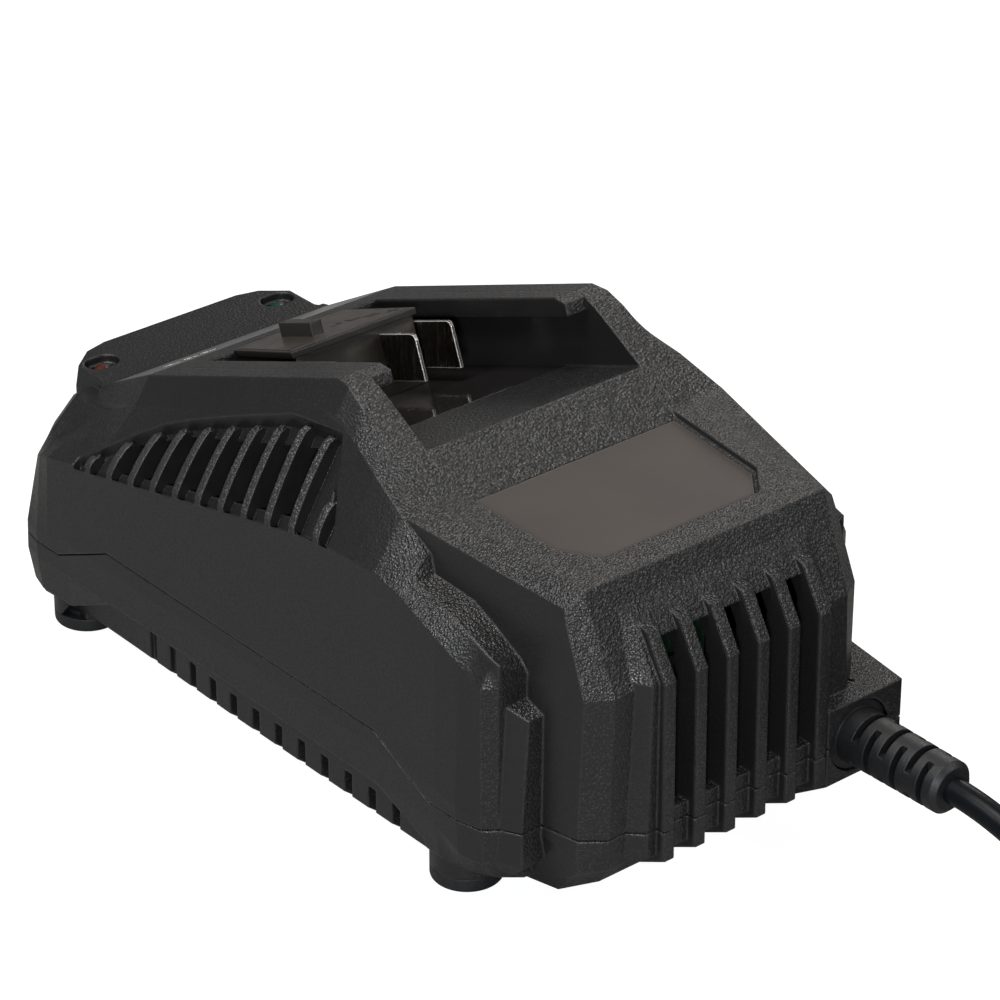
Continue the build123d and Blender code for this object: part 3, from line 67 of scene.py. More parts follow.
# ---------------------------------------------------------------- settings
class ChargerColours(bpy.types.PropertyGroup):
    """Colours of the charger's finishes."""

    case: FloatVectorProperty(
        name="Case", description="Near-black moulded case",
        default=(0.0072, 0.0072, 0.0075), subtype="COLOR", size=3, min=0, max=1)
    # Paler edge tone of the case: rubbed wear and painted highlight along the rounded edges.
    edges: FloatVectorProperty(
        name="Rubbed edges", description="Paler tone of the case where hands rub its edges",
        default=(0.045, 0.044, 0.043), subtype="COLOR", size=3, min=0, max=1)
    plate: FloatVectorProperty(
        name="Plate", description="Bare plate on the deck",
        default=(0.048, 0.0415, 0.0380), subtype="COLOR", size=3, min=0, max=1)
    seat: FloatVectorProperty(
        name="Seat", description="Glossy floor of the battery seat",
        default=(0.013, 0.012, 0.012), subtype="COLOR", size=3, min=0, max=1)
    cover: FloatVectorProperty(
        name="Terminal block", description="Terminal block and its cover",
        default=(0.033, 0.028, 0.024), subtype="COLOR", size=3, min=0, max=1)
    legend: FloatVectorProperty(
        name="Legend strip", description="Film on the slope below the lights",
        default=(0.105, 0.106, 0.110), subtype="COLOR", size=3, min=0, max=1)
    rubber: FloatVectorProperty(
        name="Rubber", description="Feet, bend relief and plug",
        default=(0.0045, 0.0050, 0.0060), subtype="COLOR", size=3, min=0, max=1)
    lead: FloatVectorProperty(
        name="Lead", description="Sheath of the mains lead",
        default=(0.0035, 0.0045, 0.0058), subtype="COLOR", size=3, min=0, max=1)
    nickel: FloatVectorProperty(
        name="Contacts", description="Plated contact blades",
        default=(0.62, 0.57, 0.48), subtype="COLOR", size=3, min=0, max=1)


class ChargerSizes(bpy.types.PropertyGroup):
    """Sizes of the pieces that are made here."""

    lead: FloatProperty(
        name="Lead diameter", description="Outside diameter of the mains lead",
        default=0.0062, unit="LENGTH")
    coil: FloatProperty(
        name="Coil diameter", description="Coil across the middle of its turns",
        default=0.063, unit="LENGTH")
    turns: IntProperty(
        name="Turns in a layer", description="Turns side by side in each layer of the coil",
        default=3, min=2)
    louvre: FloatProperty(
        name="Louvre thickness", description="Thickness of each flank louvre",
        default=0.0021, unit="LENGTH", precision=4)
    crown: FloatProperty(
        name="Louvre bow", description="How far the outer edge of a louvre bows out",
        default=0.0006, unit="LENGTH", precision=4)
    grain: FloatProperty(
        name="Grain", description="Width of one grain of the eroded texture",
        default=0.00060, unit="LENGTH", precision=5)
    relief: FloatProperty(
        name="Grain depth", description="Depth of the eroded texture",
        default=0.00022, unit="LENGTH", precision=5)
    edge: FloatProperty(
        name="Edge radius", description="Radius that moulding leaves on the case's edges",
        default=0.0009, unit="LENGTH", precision=5)


def colours():
    """Present colours of the charger."""
    return bpy.context.scene.charger_colours


def sizes():
    """Present sizes of the pieces that are made here."""
    return bpy.context.scene.charger_sizes


# ---------------------------------------------------------------- finishes
NOISE_SPAN = (0.3, 0.7)  # where most values of a noise lie
NOISE_CORE = (0.35, 0.65)  # the middle of that span, for a sharper pattern
EDGE_FULL = 0.86  # cosine between a face and its rounded normal that counts as all edge
EDGE_SAMPLES = 6
STEEP = (0.64, 0.84)  # sideways lean over which the eroded grain calms
OPEN = (0.08, 0.40)  # upward lean between an upright face and an open one
UPRIGHT_GRAIN = 0.38  # share of the grain that upright faces keep
REAR = (-0.020, 0.035)  # stretch along the case over which the grain calms to the rear
REAR_GRAIN = 0.3
PAINTED_GLINT = 10  # brightness of a painted glint on a grain, over the case's own tone
# Pale edges of metal: rubbed plating and painted highlight.
RUBBED_AND_HIGHLIT_METAL = (0.92, 0.91, 0.88)
# Pale rim of the plate: rubbed wear and painted highlight.
RUBBED_AND_HIGHLIT_PLATE = (0.30, 0.28, 0.26)


def rgba(colour):
    return (colour[0], colour[1], colour[2], 1.0)


def toned(colour, share):
    """The colour, paler or darker by a share."""
    return [c * share for c in colour]


def calculate(tree, operation, first, second):
    """Output of a node that works on two values, each a socket or a plain number."""
    node = tree.nodes.new("ShaderNodeMath")
    node.operation = operation
    for socket, value in zip(node.inputs, (first, second)):
        if isinstance(value, bpy.types.NodeSocket):
            tree.links.new(value, socket)
        else:
            socket.default_value = value
    return node.outputs[0]


class Finish:
    """One node-based finish, with short calls for the nodes that its pattern needs."""

    def __init__(self, name, colour, roughness):
        self.material = bpy.data.materials.new(name)
        self.material.use_nodes = True
        self.tree = self.material.node_tree
        self.shader = self.tree.nodes["Principled BSDF"]
        self.shader.inputs["Base Color"].default_value = rgba(colour)
        self.shader.inputs["Roughness"].default_value = roughness
        coordinates = self.tree.nodes.new("ShaderNodeTexCoord")
        self.place = coordinates.outputs["Object"]
        self.normal = coordinates.outputs["Normal"]

    def add(self, kind, **values):
        """Add a node and set its own values."""
        node = self.tree.nodes.new(kind)
        for key, value in values.items():
            setattr(node, key, value)
        return node

    def join(self, source, target):
        self.tree.links.new(source, target)

    def put(self, socket, value):
        """Set a socket of the shader itself."""
        self.shader.inputs[socket].default_value = value

    def noise(self, grain, detail=2.0, rough=0.5):
        """Cloudy pattern with grains of a given width in metres."""
        node = self.add("ShaderNodeTexNoise")
        node.inputs["Scale"].default_value = 1 / grain
        node.inputs["Detail"].default_value = detail
        node.inputs["Roughness"].default_value = rough
        self.join(self.place, node.inputs["Vector"])
        return node.outputs["Fac"]

    def cells(self, grain):
        """Distance from the middle of each grain, and a tint that differs from grain to grain."""
        node = self.add("ShaderNodeTexVoronoi")
        node.inputs["Scale"].default_value = 1 / grain
        self.join(self.place, node.inputs["Vector"])
        split = self.add("ShaderNodeSeparateColor")
        self.join(node.outputs["Color"], split.inputs[0])
        return node.outputs["Distance"], split.outputs[0]

    def ramp(self, source, low, high, start=0.0, end=1.0):
        """Run from start to end while the source runs from low to high."""
        node = self.add("ShaderNodeMapRange")
        self.join(source, node.inputs["Value"])
        for key, value in (("From Min", low), ("From Max", high), ("To Min", start),
                           ("To Max", end)):
            node.inputs[key].default_value = value
        return node.outputs["Result"]

    def plus(self, a, b):
        return calculate(self.tree, "ADD", a, b)

    def minus(self, a, b):
        return calculate(self.tree, "SUBTRACT", a, b)

    def times(self, a, b):
        return calculate(self.tree, "MULTIPLY", a, b)

    def blend(self, amount, a, b):
        """Mix two colours."""
        node = self.add("ShaderNodeMix", data_type="RGBA")
        self.join(amount, node.inputs["Factor"])
        for key, value in (("A", a), ("B", b)):
            socket = next(s for s in node.inputs if s.name == key and s.type == "RGBA")
            if isinstance(value, bpy.types.NodeSocket):
                self.join(value, socket)
            else:
                socket.default_value = rgba(value)
        return next(s for s in node.outputs if s.type == "RGBA")

    def paint(self, colour):
        self.join(colour, self.shader.inputs["Base Color"])

    def rough(self, value):
        self.join(value, self.shader.inputs["Roughness"])

    def soft_edges(self, radius):
        """Normal that rounds the edges, and how much of an edge a point is."""
        bevel = self.add("ShaderNodeBevel", samples=EDGE_SAMPLES)
        bevel.inputs["Radius"].default_value = radius
        face = self.add("ShaderNodeNewGeometry")
        dot = self.add("ShaderNodeVectorMath", operation="DOT_PRODUCT")
        self.join(bevel.outputs[0], dot.inputs[0])
        self.join(face.outputs["Normal"], dot.inputs[1])
        return bevel.outputs[0], self.ramp(dot.outputs["Value"], 1.0, EDGE_FULL)

    def along(self, axis, vector=None):
        """One axis of a vector, or of the place on the object in metres."""
        split = self.add("ShaderNodeSeparateXYZ")
        self.join(self.place if vector is None else vector, split.inputs[0])
        return split.outputs[axis]

    def sideways(self, start, end):
        """How far a face looks sideways, from 0 to 1."""
        lean = calculate(self.tree, "ABSOLUTE", self.along("X", self.normal), 0.0)
        return self.ramp(lean, start, end)

    def upward(self, start, end, least):
        """One on faces that look up, falling to the least on upright ones."""
        return self.ramp(self.along("Z", self.normal), start, end, least, 1.0)

    def bump(self, height, depth, normal=None):
        """Raise the surface by a height from 0 to 1, of a given depth in metres."""
        node = self.add("ShaderNodeBump")
        node.inputs["Strength"].default_value = 1.0
        node.inputs["Distance"].default_value = depth
        self.join(height, node.inputs["Height"])
        if normal is not None:
            self.join(normal, node.inputs["Normal"])
        self.join(node.outputs[0], self.shader.inputs["Normal"])


def eroded_case(name, colour, roughness=0.36, flanks=0.85):
    """Spark-eroded black plastic: coarse grain on open faces, finer on the steep flanks, with
    glints painted on the grain and paler edges of rubbed wear and painted highlight.
    """
    finish = Finish(name, colour, roughness)
    size = sizes()
    normal, edge = finish.soft_edges(size.edge)
    steep = finish.sideways(*STEEP)
    coarse = finish.minus(1.0, finish.times(steep, flanks))
    rear = finish.ramp(finish.along("Y"), *REAR, 1.0, REAR_GRAIN)
    coarse = finish.times(coarse, rear)
    coarse = finish.times(coarse, finish.upward(*OPEN, UPRIGHT_GRAIN))
    distance, tint = finish.cells(size.grain)
    dome = finish.ramp(distance, 0.75, 0.05)
    wave = finish.ramp(finish.noise(size.grain * 1.6, 2.0, 0.6), *NOISE_SPAN, 0.0, 0.6)
    height = finish.times(finish.plus(dome, wave), coarse)
    cloud = finish.ramp(finish.noise(0.03, 3.0), *NOISE_CORE, 0.0, 0.35)
    tone = finish.blend(cloud, colour, toned(colour, 1.4))
    # Painted glint: single grains painted many times paler than the case tone where the grain is
    # coarse, mostly on faces that look up or forward.
    painted_glint = finish.times(finish.ramp(distance, 0.50, 0.20), finish.ramp(tint, 0.10, 1.0))
    painted_glint = finish.times(painted_glint, coarse)
    tone = finish.blend(painted_glint, tone, toned(colour, PAINTED_GLINT))
    # Paler edges in patches: rubbed wear and painted highlight along the rounded edges.
    patches = finish.ramp(finish.noise(0.002, 2.0), *NOISE_SPAN, 0.25, 1.0)
    rubbed_and_highlit = finish.times(edge, patches)
    finish.paint(finish.blend(finish.times(rubbed_and_highlit, 0.6), tone, colours().edges))
    finish.rough(finish.ramp(dome, 0.0, 1.0, roughness + 0.10, roughness - 0.10))
    finish.bump(height, size.relief, normal)
    return finish.material


def satin_plastic(name, colour, roughness, grain=0.0003, depth=0.00001, edge=0.0003):
    """Moulded plastic with a fine tooth, and edges painted paler: painted highlight and rubbed
    wear.
    """
    finish = Finish(name, colour, roughness)
    normal, rubbed_and_highlit = finish.soft_edges(edge)
    fine = finish.noise(grain, 2.0)
    cloud = finish.ramp(finish.noise(0.012, 3.0), *NOISE_SPAN, 0.0, 0.3)
    tone = finish.blend(cloud, colour, toned(colour, 1.35))
    # Edges painted up to twice as pale: painted highlight and rubbed wear.
    finish.paint(finish.blend(finish.times(rubbed_and_highlit, 0.5), tone, toned(colour, 2)))
    finish.rough(finish.ramp(finish.noise(0.004, 3.0), *NOISE_SPAN, roughness - 0.04,
                             roughness + 0.05))
    finish.bump(fine, depth, normal)
    return finish.material


def bare_plate(name, colour):
    """Matt plate with a fine even grain and a paler rim: rubbed wear and painted highlight."""
    finish = Finish(name, colour, 0.55)
    normal, rubbed_and_highlit = finish.soft_edges(0.0003)
    fine = finish.noise(0.00035, 2.0)
    cloud = finish.ramp(finish.noise(0.02, 2.0), *NOISE_CORE)
    tone = finish.blend(cloud, toned(colour, 0.93), toned(colour, 1.05))
    tone = finish.blend(finish.ramp(fine, *NOISE_SPAN, 0.0, 0.25), tone, toned(colour, 1.5))
    # Paler rim: rubbed wear and painted highlight.
    finish.paint(finish.blend(finish.times(rubbed_and_highlit, 0.8), tone, RUBBED_AND_HIGHLIT_PLATE))
    finish.put("Specular IOR Level", 0.25)
    finish.bump(fine, 0.00002, normal)
    return finish.material


def glossy_seat(name, colour):
    """Polished black plastic with fine wipe marks."""
    finish = Finish(name, colour, 0.13)
    normal = finish.soft_edges(0.0003)[0]
    swirl = finish.noise(0.006, 3.0, 0.6)
    finish.rough(finish.ramp(swirl, *NOISE_CORE, 0.04, 0.11))
    cloud = finish.ramp(finish.noise(0.01, 2.0), *NOISE_SPAN, 0.0, 0.5)
    finish.paint(finish.blend(cloud, colour, toned(colour, 1.6)))
    finish.bump(finish.noise(0.0015, 1.0), 0.000006, normal)
    finish.put("Specular IOR Level", 0.6)
    return finish.material


def plated_metal(name, colour, roughness=0.2):
    """Plated sheet metal with rolling streaks, a few wipe marks and bright edges: rubbed plating
    and painted highlight.
    """
    finish = Finish(name, colour, roughness)
    finish.put("Metallic", 1.0)
    normal, rubbed_and_highlit = finish.soft_edges(0.0004)
    streak = 0.0006
    squeeze = 8.0
    stretch = finish.add("ShaderNodeMapping")
    stretch.inputs["Scale"].default_value = (1.0, squeeze, 0.6)
    finish.join(finish.place, stretch.inputs["Vector"])
    streaks = finish.add("ShaderNodeTexNoise")
    streaks.inputs["Scale"].default_value = 1 / (streak * squeeze)
    streaks.inputs["Detail"].default_value = 3.0
    finish.join(stretch.outputs[0], streaks.inputs["Vector"])
    grime = finish.ramp(finish.noise(0.0016, 3.0, 0.7), 0.42, 0.66)
    tone = finish.blend(grime, colour, toned(colour, 0.62))
    # Edges painted pale and less metallic: painted highlight and rubbed plating.
    finish.paint(finish.blend(rubbed_and_highlit, tone, RUBBED_AND_HIGHLIT_METAL))
    metal = finish.minus(1.0, finish.times(rubbed_and_highlit, 0.7))
    finish.join(metal, finish.shader.inputs["Metallic"])
    finish.rough(finish.ramp(streaks.outputs["Fac"], *NOISE_SPAN, roughness - 0.07,
                             roughness + 0.12))
    finish.bump(streaks.outputs["Fac"], 0.000012, normal)
    return finish.material


def sheath(name, colour):
    """Smooth sheath of the lead, with its slight waviness along the run."""
    finish = Finish(name, colour, 0.24)
    cloud = finish.ramp(finish.noise(0.02, 2.0), *NOISE_SPAN, 0.0, 0.5)
    finish.paint(finish.blend(cloud, colour, toned(colour, 1.5)))
    finish.put("Specular IOR Level", 0.12)
    finish.rough(finish.ramp(finish.noise(0.003, 3.0), *NOISE_SPAN, 0.30, 0.42))
    finish.bump(finish.noise(0.004, 2.0), 0.00008)
    return finish.material


def rubbery(name, colour):
    """Soft moulded rubber with an orange-peel surface and painted glints."""
    roughness = 0.5
    grain = 0.0006
    finish = Finish(name, colour, roughness)
    normal = finish.soft_edges(0.0004)[0]
    peel = finish.noise(grain, 3.0, 0.6)
    # Painted glint: specks painted 2.4 times paler than the rubber.
    painted_glint = finish.ramp(finish.noise(grain * 1.5, 2.0), 0.6, 0.75)
    finish.paint(finish.blend(painted_glint, colour, toned(colour, 2.4)))
    finish.rough(finish.ramp(peel, *NOISE_SPAN, roughness + 0.08, roughness - 0.08))
    finish.bump(peel, 0.00006, normal)
    return finish.material


def lens(name, colour):
    """Tinted resin of an indicator light."""
    finish = Finish(name, colour, 0.35)
    cloud = finish.ramp(finish.noise(0.0015, 2.0), *NOISE_SPAN)
    finish.paint(finish.blend(cloud, colour, toned(colour, 0.55)))
    finish.put("Specular IOR Level", 0.35)
    return finish.material


def film(name, colour):
    """Printed film: fine pale sparkle under a satin face."""
    finish = Finish(name, colour, 0.34)
    sparkle = finish.ramp(finish.noise(0.0008, 3.0, 0.75), 0.5, 0.72)
    finish.paint(finish.blend(sparkle, colour, toned(colour, 1.9)))
    finish.rough(finish.ramp(finish.noise(0.002, 2.0), *NOISE_SPAN, 0.26, 0.42))
    finish.bump(finish.noise(0.0006, 2.0), 0.000015)
    return finish.material


def circuit_laminate(name, colour):
    """Green laminate with faint copper runs under the lacquer."""
    finish = Finish(name, colour, 0.35)
    wave = finish.add("ShaderNodeTexWave", bands_direction="X")
    wave.inputs["Scale"].default_value = 120.0
    wave.inputs["Distortion"].default_value = 6.0
    finish.join(finish.place, wave.inputs["Vector"])
    runs = finish.ramp(wave.outputs["Fac"], 0.6, 0.7)
    finish.paint(finish.blend(runs, colour, toned(colour, 1.7)))
    finish.bump(runs, 0.00003)
    return finish.material


FINISHES = {
    "case": lambda c: eroded_case("eroded_case", c.case),
    # Louvre edges at 2.2 times the case tone: a coarser grain and painted highlight. Their cheeks
    # at 0.35 of it: painted shade.
    "louvre": lambda c: eroded_case("louvre_edge", toned(c.case, 2.2), 0.42, flanks=0.0),
    "painted_shade": lambda c: satin_plastic("louvre_cheek_shade_painted", toned(c.case, 0.35), 0.6),
    "plate": lambda c: bare_plate("bare_plate", c.plate),
    "seat": lambda c: glossy_seat("polished_seat", c.seat),
    "cover": lambda c: satin_plastic("terminal_plastic", c.cover, 0.36, grain=0.0005,
                                     depth=0.000025),
    "block": lambda c: satin_plastic("block_plastic", toned(c.cover, 0.38), 0.34,
                                     grain=0.0005, depth=0.00002, edge=0.0004),
    "legend": lambda c: film("legend_film", c.legend),
    "rubber": lambda c: rubbery("moulded_rubber", c.rubber),
    "lead": lambda c: sheath("lead_sheath", c.lead),
    # Contact faces at 0.55 of the contact colour: painted shade for the dark inside that they
    # reflect.
    "nickel": lambda c: plated_metal("plated_contact", toned(c.nickel, 0.55)),
    "screw": lambda c: plated_metal("screw_steel", (0.42, 0.42, 0.43), 0.3),
    "brass": lambda c: plated_metal("plug_brass", (0.72, 0.60, 0.34), 0.22),
    "alloy": lambda c: plated_metal("sink_alloy", (0.62, 0.62, 0.63), 0.38),
    "red": lambda c: lens("red_lens", (0.085, 0.016, 0.010)),
    "green": lambda c: lens("green_lens", (0.006, 0.050, 0.042)),
    "laminate": lambda c: circuit_laminate("board_laminate", (0.006, 0.035, 0.016)),
    "ferrite": lambda c: satin_plastic("ferrite", (0.035, 0.035, 0.037), 0.6, grain=0.0006,
                                       depth=0.00004),
    "tape": lambda c: satin_plastic("winding_tape", (0.55, 0.40, 0.05), 0.3),
    "sleeve": lambda c: satin_plastic("capacitor_sleeve", (0.02, 0.03, 0.07), 0.25),
    "toroid": lambda c: satin_plastic("choke_coat", (0.05, 0.16, 0.10), 0.35),
    "chip": lambda c: satin_plastic("chip_resin", (0.018, 0.018, 0.018), 0.5, grain=0.0004,
                                    depth=0.00002),
    "red_wire": lambda c: satin_plastic("wire_red", (0.20, 0.012, 0.010), 0.35),
    "blue_wire": lambda c: satin_plastic("wire_blue", (0.03, 0.09, 0.35), 0.35),
    "ink": lambda c: satin_plastic("pale_ink", (0.55, 0.55, 0.53), 0.5),
    # Near-black marks, standing slightly proud of the cover panel.
    "mark": lambda c: satin_plastic("near_black_mark", (0.004, 0.004, 0.004), 0.6),
    "strap": lambda c: satin_plastic("strap_nylon", (0.016, 0.016, 0.017), 0.4),
}

WEARS = {
    "case": SHELLS + ("lower_shell",),
    "plate": ("label_plate",),
    "seat": ("seat_insert",),
    "block": ("terminal_block", "terminal_cover", "cord_clamp"),
    "legend": ("legend_strip",),
    "rubber": ("strain_relief", "foot_1", "foot_2", "foot_3", "foot_4"),
    "lead": ("cord_inside",),
    "nickel": ("blade_positive", "blade_sense", "blade_negative"),
    "screw": ("indicator_screws", "board_screws", "clamp_screws", "case_screws"),
    "brass": ("plug_pins",),
    "alloy": ("heat_sink",),
    "red": ("light_red",),
    "green": ("light_green",),
    "laminate": ("indicator_board", "circuit_board", "front_board"),
    "ferrite": ("transformer_core",),
    "tape": ("transformer_winding",),
    "sleeve": ("mains_capacitor", "output_capacitors"),
    "toroid": ("choke",),
    "chip": ("fuse", "power_transistors", "front_board_parts"),
    "red_wire": ("terminal_wires",),
    "blue_wire": ("mains_wires",),
}


def finish_of(name):
    """Material of a finish, made when it is first asked for."""
    if name not in MADE:
        MADE[name] = FINISHES[name](colours())
    return MADE[name]


# ---------------------------------------------------------------- making pieces
SAME_POINT = 1e-7


def mesh_piece(name, verts, faces, finish, smooth=True):
    """New piece from points and faces, facing outwards."""
    mesh = bpy.data.meshes.new(name)
    mesh.from_pydata([tuple(v) for v in verts], [], faces)
    made = bmesh.new()
    made.from_mesh(mesh)
    bmesh.ops.remove_doubles(made, verts=made.verts, dist=SAME_POINT)
    bmesh.ops.recalc_face_normals(made, faces=made.faces)
    made.to_mesh(mesh)
    made.free()
    for face in mesh.polygons:
        face.use_smooth = smooth
    piece = bpy.data.objects.new(name, mesh)
    bpy.context.collection.objects.link(piece)
    mesh.materials.append(finish_of(finish))
    return piece


def seal(piece):
    """Apply the piece's modifiers and leave a plain mesh."""
    view = bpy.context.evaluated_depsgraph_get()
    mesh = bpy.data.meshes.new_from_object(piece.evaluated_get(view))
    piece.modifiers.clear()
    piece.data = mesh


def loops(rings):
    """Points and faces of a closed skin over rings of equal length."""
    count = len(rings[0])
    verts = [p for ring in rings for p in ring]
    faces = []
    for r in range(len(rings) - 1):
        for i in range(count):
            j = (i + 1) % count
            faces.append((r * count + i, r * count + j, (r + 1) * count + j,
                          (r + 1) * count + i))
    faces.append(tuple(range(count)))
    faces.append(tuple(range((len(rings) - 1) * count, len(rings) * count)))
    return verts, faces


# ---------------------------------------------------------------- mains lead
DESK = -PARTING * 1000
COIL_AT = (101.0, -44.4)
COIL_LAYERS = 3
PER_TURN = 16  # control points in one turn of the coil
COIL_POINTS = 8 * PER_TURN + 4  # a little over eight turns
INNER_DIP = 1.0  # how far the lead swings inwards while it climbs to the second layer
OUTER_SWING = 2.6  # and outwards while it climbs to the third
LET_GO = (7.4, 0.8)  # turn at which the lead starts up to the plug, and turns it takes
EXIT_AT = (35.3, -33.0, 0.0)
PLUG_X = 126.3
PLUG_START = -44.9
PLUG_THICK = 6.85  # half the plug's thickness


def plug_up():
    """Height of the plug's middle, where the plug lies on top of the coil."""
    return DESK + COIL_LAYERS * sizes().lead * 1000 + PLUG_THICK


def coil_place(turn):
    """Radius and height of the coil at a number of turns from its start, in millimetres."""
    size = sizes()
    step = size.lead * 1000
    outer = size.coil * 500 + step * (size.turns - 1) / 2
    inner = outer - step * (size.turns - 1)
    lift = DESK + step / 2
    if turn < 2:
        return outer - step * turn, lift
    if turn < 3:
        climb = turn - 2
        return inner - INNER_DIP * math.sin(math.pi * climb), lift + step * climb
    if turn < 5:
        return inner + step * (turn - 3), lift + step
    if turn < 6:
        climb = turn - 5
        return outer + OUTER_SWING * math.sin(math.pi * climb), lift + step * (1 + climb)
    climb = min(max((turn - LET_GO[0]) / LET_GO[1], 0.0), 1.0)
    ease = climb * climb * (3 - 2 * climb)
    top = lift + 2 * step
    return max(outer - step * (turn - 6), inner), top + (plug_up() - top) * ease


def coil_points():
    """Control points of the coil's turns, from the outermost on the desk to the top."""
    points = []
    for i in range(COIL_POINTS):
        turn = i / PER_TURN
        r, z = coil_place(turn)
        angle = math.tau * turn - math.pi / 2
        grow = r / math.cos(math.pi / PER_TURN)
        points.append((COIL_AT[0] + grow * math.cos(angle),
                       COIL_AT[1] + grow * math.sin(angle), z))
    return points


def lead_route():
    """Control points of the lead from the bend relief to the plug, in millimetres."""
    start = [EXIT_AT, (35.3, -41.0, 0.0), (36.0, -54.5, -3.6),
             (40.6, -67.3, -12.1), (51.6, -77.2, -18.1), (67.0, -81.6, -18.9),
             (77.0, -81.6, -18.9), (90.0, -81.8, -18.9)]
    end = [(PLUG_X, PLUG_START, plug_up())]
    return start + coil_points() + end


class CHARGER_OT_lead(bpy.types.Operator):
    """Make the mains lead with its put-away coil"""

    bl_idname = "charger.lead"
    bl_label = "Mains lead"

    def execute(self, context):
        curve = bpy.data.curves.new("mains_lead", "CURVE")
        curve.dimensions = "3D"
        points = [spot(*point) for point in lead_route()]
        spline = curve.splines.new("NURBS")
        spline.points.add(len(points) - 1)
        for knot, point in zip(spline.points, points):
            knot.co = (*point, 1.0)
        spline.order_u = 3
        spline.use_endpoint_u = True
        spline.resolution_u = 6
        curve.bevel_depth = sizes().lead / 2
        curve.bevel_resolution = 5
        curve.use_fill_caps = True
        lead = bpy.data.objects.new("mains_lead", curve)
        context.collection.objects.link(lead)
        curve.materials.append(finish_of("lead"))
        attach(lead, BODY)
        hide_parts("mains_cord", "cord_coil")
        MADE["lead_object"] = lead
        return {"FINISHED"}


STRAP_GAP = 0.3  # between the strap and the turns that it holds
STRAP_CORNER = 3.2
STRAP_FOOT = 0.4  # height of the strap's ends over the desk
STRAP_SECTION = ((-4.2, 0), (-4.4, 0.4), (-4.2, 0.8), (4.2, 0.8), (4.4, 0.4), (4.2, 0))
ARC_STEPS = 6


def corner_arc(x, z, start):
    """Quarter turn of the strap, clockwise from an angle in quarters of a turn."""
    arc = []
    for k in range(ARC_STEPS + 1):
        angle = math.pi / 2 * (start - k / ARC_STEPS)
        arc.append((x + STRAP_CORNER * math.cos(angle), z + STRAP_CORNER * math.sin(angle)))
    return arc


class CHARGER_OT_tie(bpy.types.Operator):
    """Make the strap that holds the coil"""

    bl_idname = "charger.tie"
    bl_label = "Coil strap"

    def execute(self, context):
        size = sizes()
        step = size.lead * 1000
        inner = size.coil * 500 - step * size.turns / 2
        outer = inner + step * size.turns
        left = COIL_AT[0] - outer - STRAP_GAP
        right = COIL_AT[0] - inner + STRAP_GAP
        top = DESK + COIL_LAYERS * step + STRAP_GAP
        foot = DESK + STRAP_FOOT
        path = [(left, foot)]
        path += corner_arc(left + STRAP_CORNER, top - STRAP_CORNER, 2)
        path += corner_arc(right - STRAP_CORNER, top - STRAP_CORNER, 1)
        path += [(right, foot)]
        rings = []
        for i, (x, z) in enumerate(path):
            before = path[max(i - 1, 0)]
            after = path[min(i + 1, len(path) - 1)]
            run = Vector((after[0] - before[0], after[1] - before[1])).normalized()
            out = Vector((-run[1], run[0]))
            ring = []
            for y, off in STRAP_SECTION:
                ring.append(spot(x + out[0] * off, COIL_AT[1] + y, z + out[1] * off))
            rings.append(ring)
        verts, faces = loops(rings)
        strap = mesh_piece("coil_strap", verts, faces, "strap")
        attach(strap, BODY)
        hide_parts("cord_tie")
        MADE["strap_object"] = strap
        return {"FINISHED"}


PLUG_ROUND = 28  # points round the plug
PLUG_SIDES, PLUG_TOPS = 0.45, 0.6  # how square its outline is, across and up
# Place along the plug, half its width and half its thickness there.
PLUG_SECTIONS = [(0.0, 5.6, 5.2), (2.0, 6.0, 5.6), (5.0, 8.0, 6.2), (9.0, 12.5, 6.7),
                 (13.0, 16.0, PLUG_THICK), (17.0, 17.4, PLUG_THICK),
                 (25.0, 17.65, PLUG_THICK), (31.0, 16.6, PLUG_THICK), (34.5, 14.2, 6.7),
                 (36.0, 13.0, 6.2)]


def squared(share, power):
    """A share of a circle's radius, pushed out towards a square."""
    return math.copysign(abs(share) ** power, share)


class CHARGER_OT_plug(bpy.types.Operator):
    """Make the flat two-pole plug body"""

    bl_idname = "charger.plug"
    bl_label = "Plug"

    def execute(self, context):
        middle = plug_up()
        rings = []
        for along, half, thick in PLUG_SECTIONS:
            ring = []
            for k in range(PLUG_ROUND):
                angle = math.tau * k / PLUG_ROUND
                ring.append(spot(PLUG_X + half * squared(math.cos(angle), PLUG_SIDES),
                                 PLUG_START + along,
                                 middle + thick * squared(math.sin(angle), PLUG_TOPS)))
            rings.append(ring)
        verts, faces = loops(rings)
        plug = mesh_piece("plug_shell", verts, faces, "rubber")
        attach(plug, BODY)
        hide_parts("plug_body")
        return {"FINISHED"}


# ---------------------------------------------------------------- finishes on the frame
class CHARGER_OT_finishes(bpy.types.Operator):
    """Give every carried-over piece its finish"""

    bl_idname = "charger.finishes"
    bl_label = "Finishes"

    def execute(self, context):
        for finish, nodes in WEARS.items():
            for node in nodes:
                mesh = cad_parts[node].data
                mesh.materials.clear()
                mesh.materials.append(finish_of(finish))
        return {"FINISHED"}


# ---------------------------------------------------------------- marks
RAIL_TOPS = (math.radians(21.1), 88.6, 75.9)  # slope to the rear, and where it starts
INLAY = (math.radians(29.3), 161.0, 47.95)


def on_plane(plane, x, along, off):
    """Place on a sloping plane: across, down the slope and off its surface."""
    angle, behind, above = plane
    s, c = math.sin(angle), math.cos(angle)
    return spot(x, behind + along * c + off * s, above - along * s + off * c)


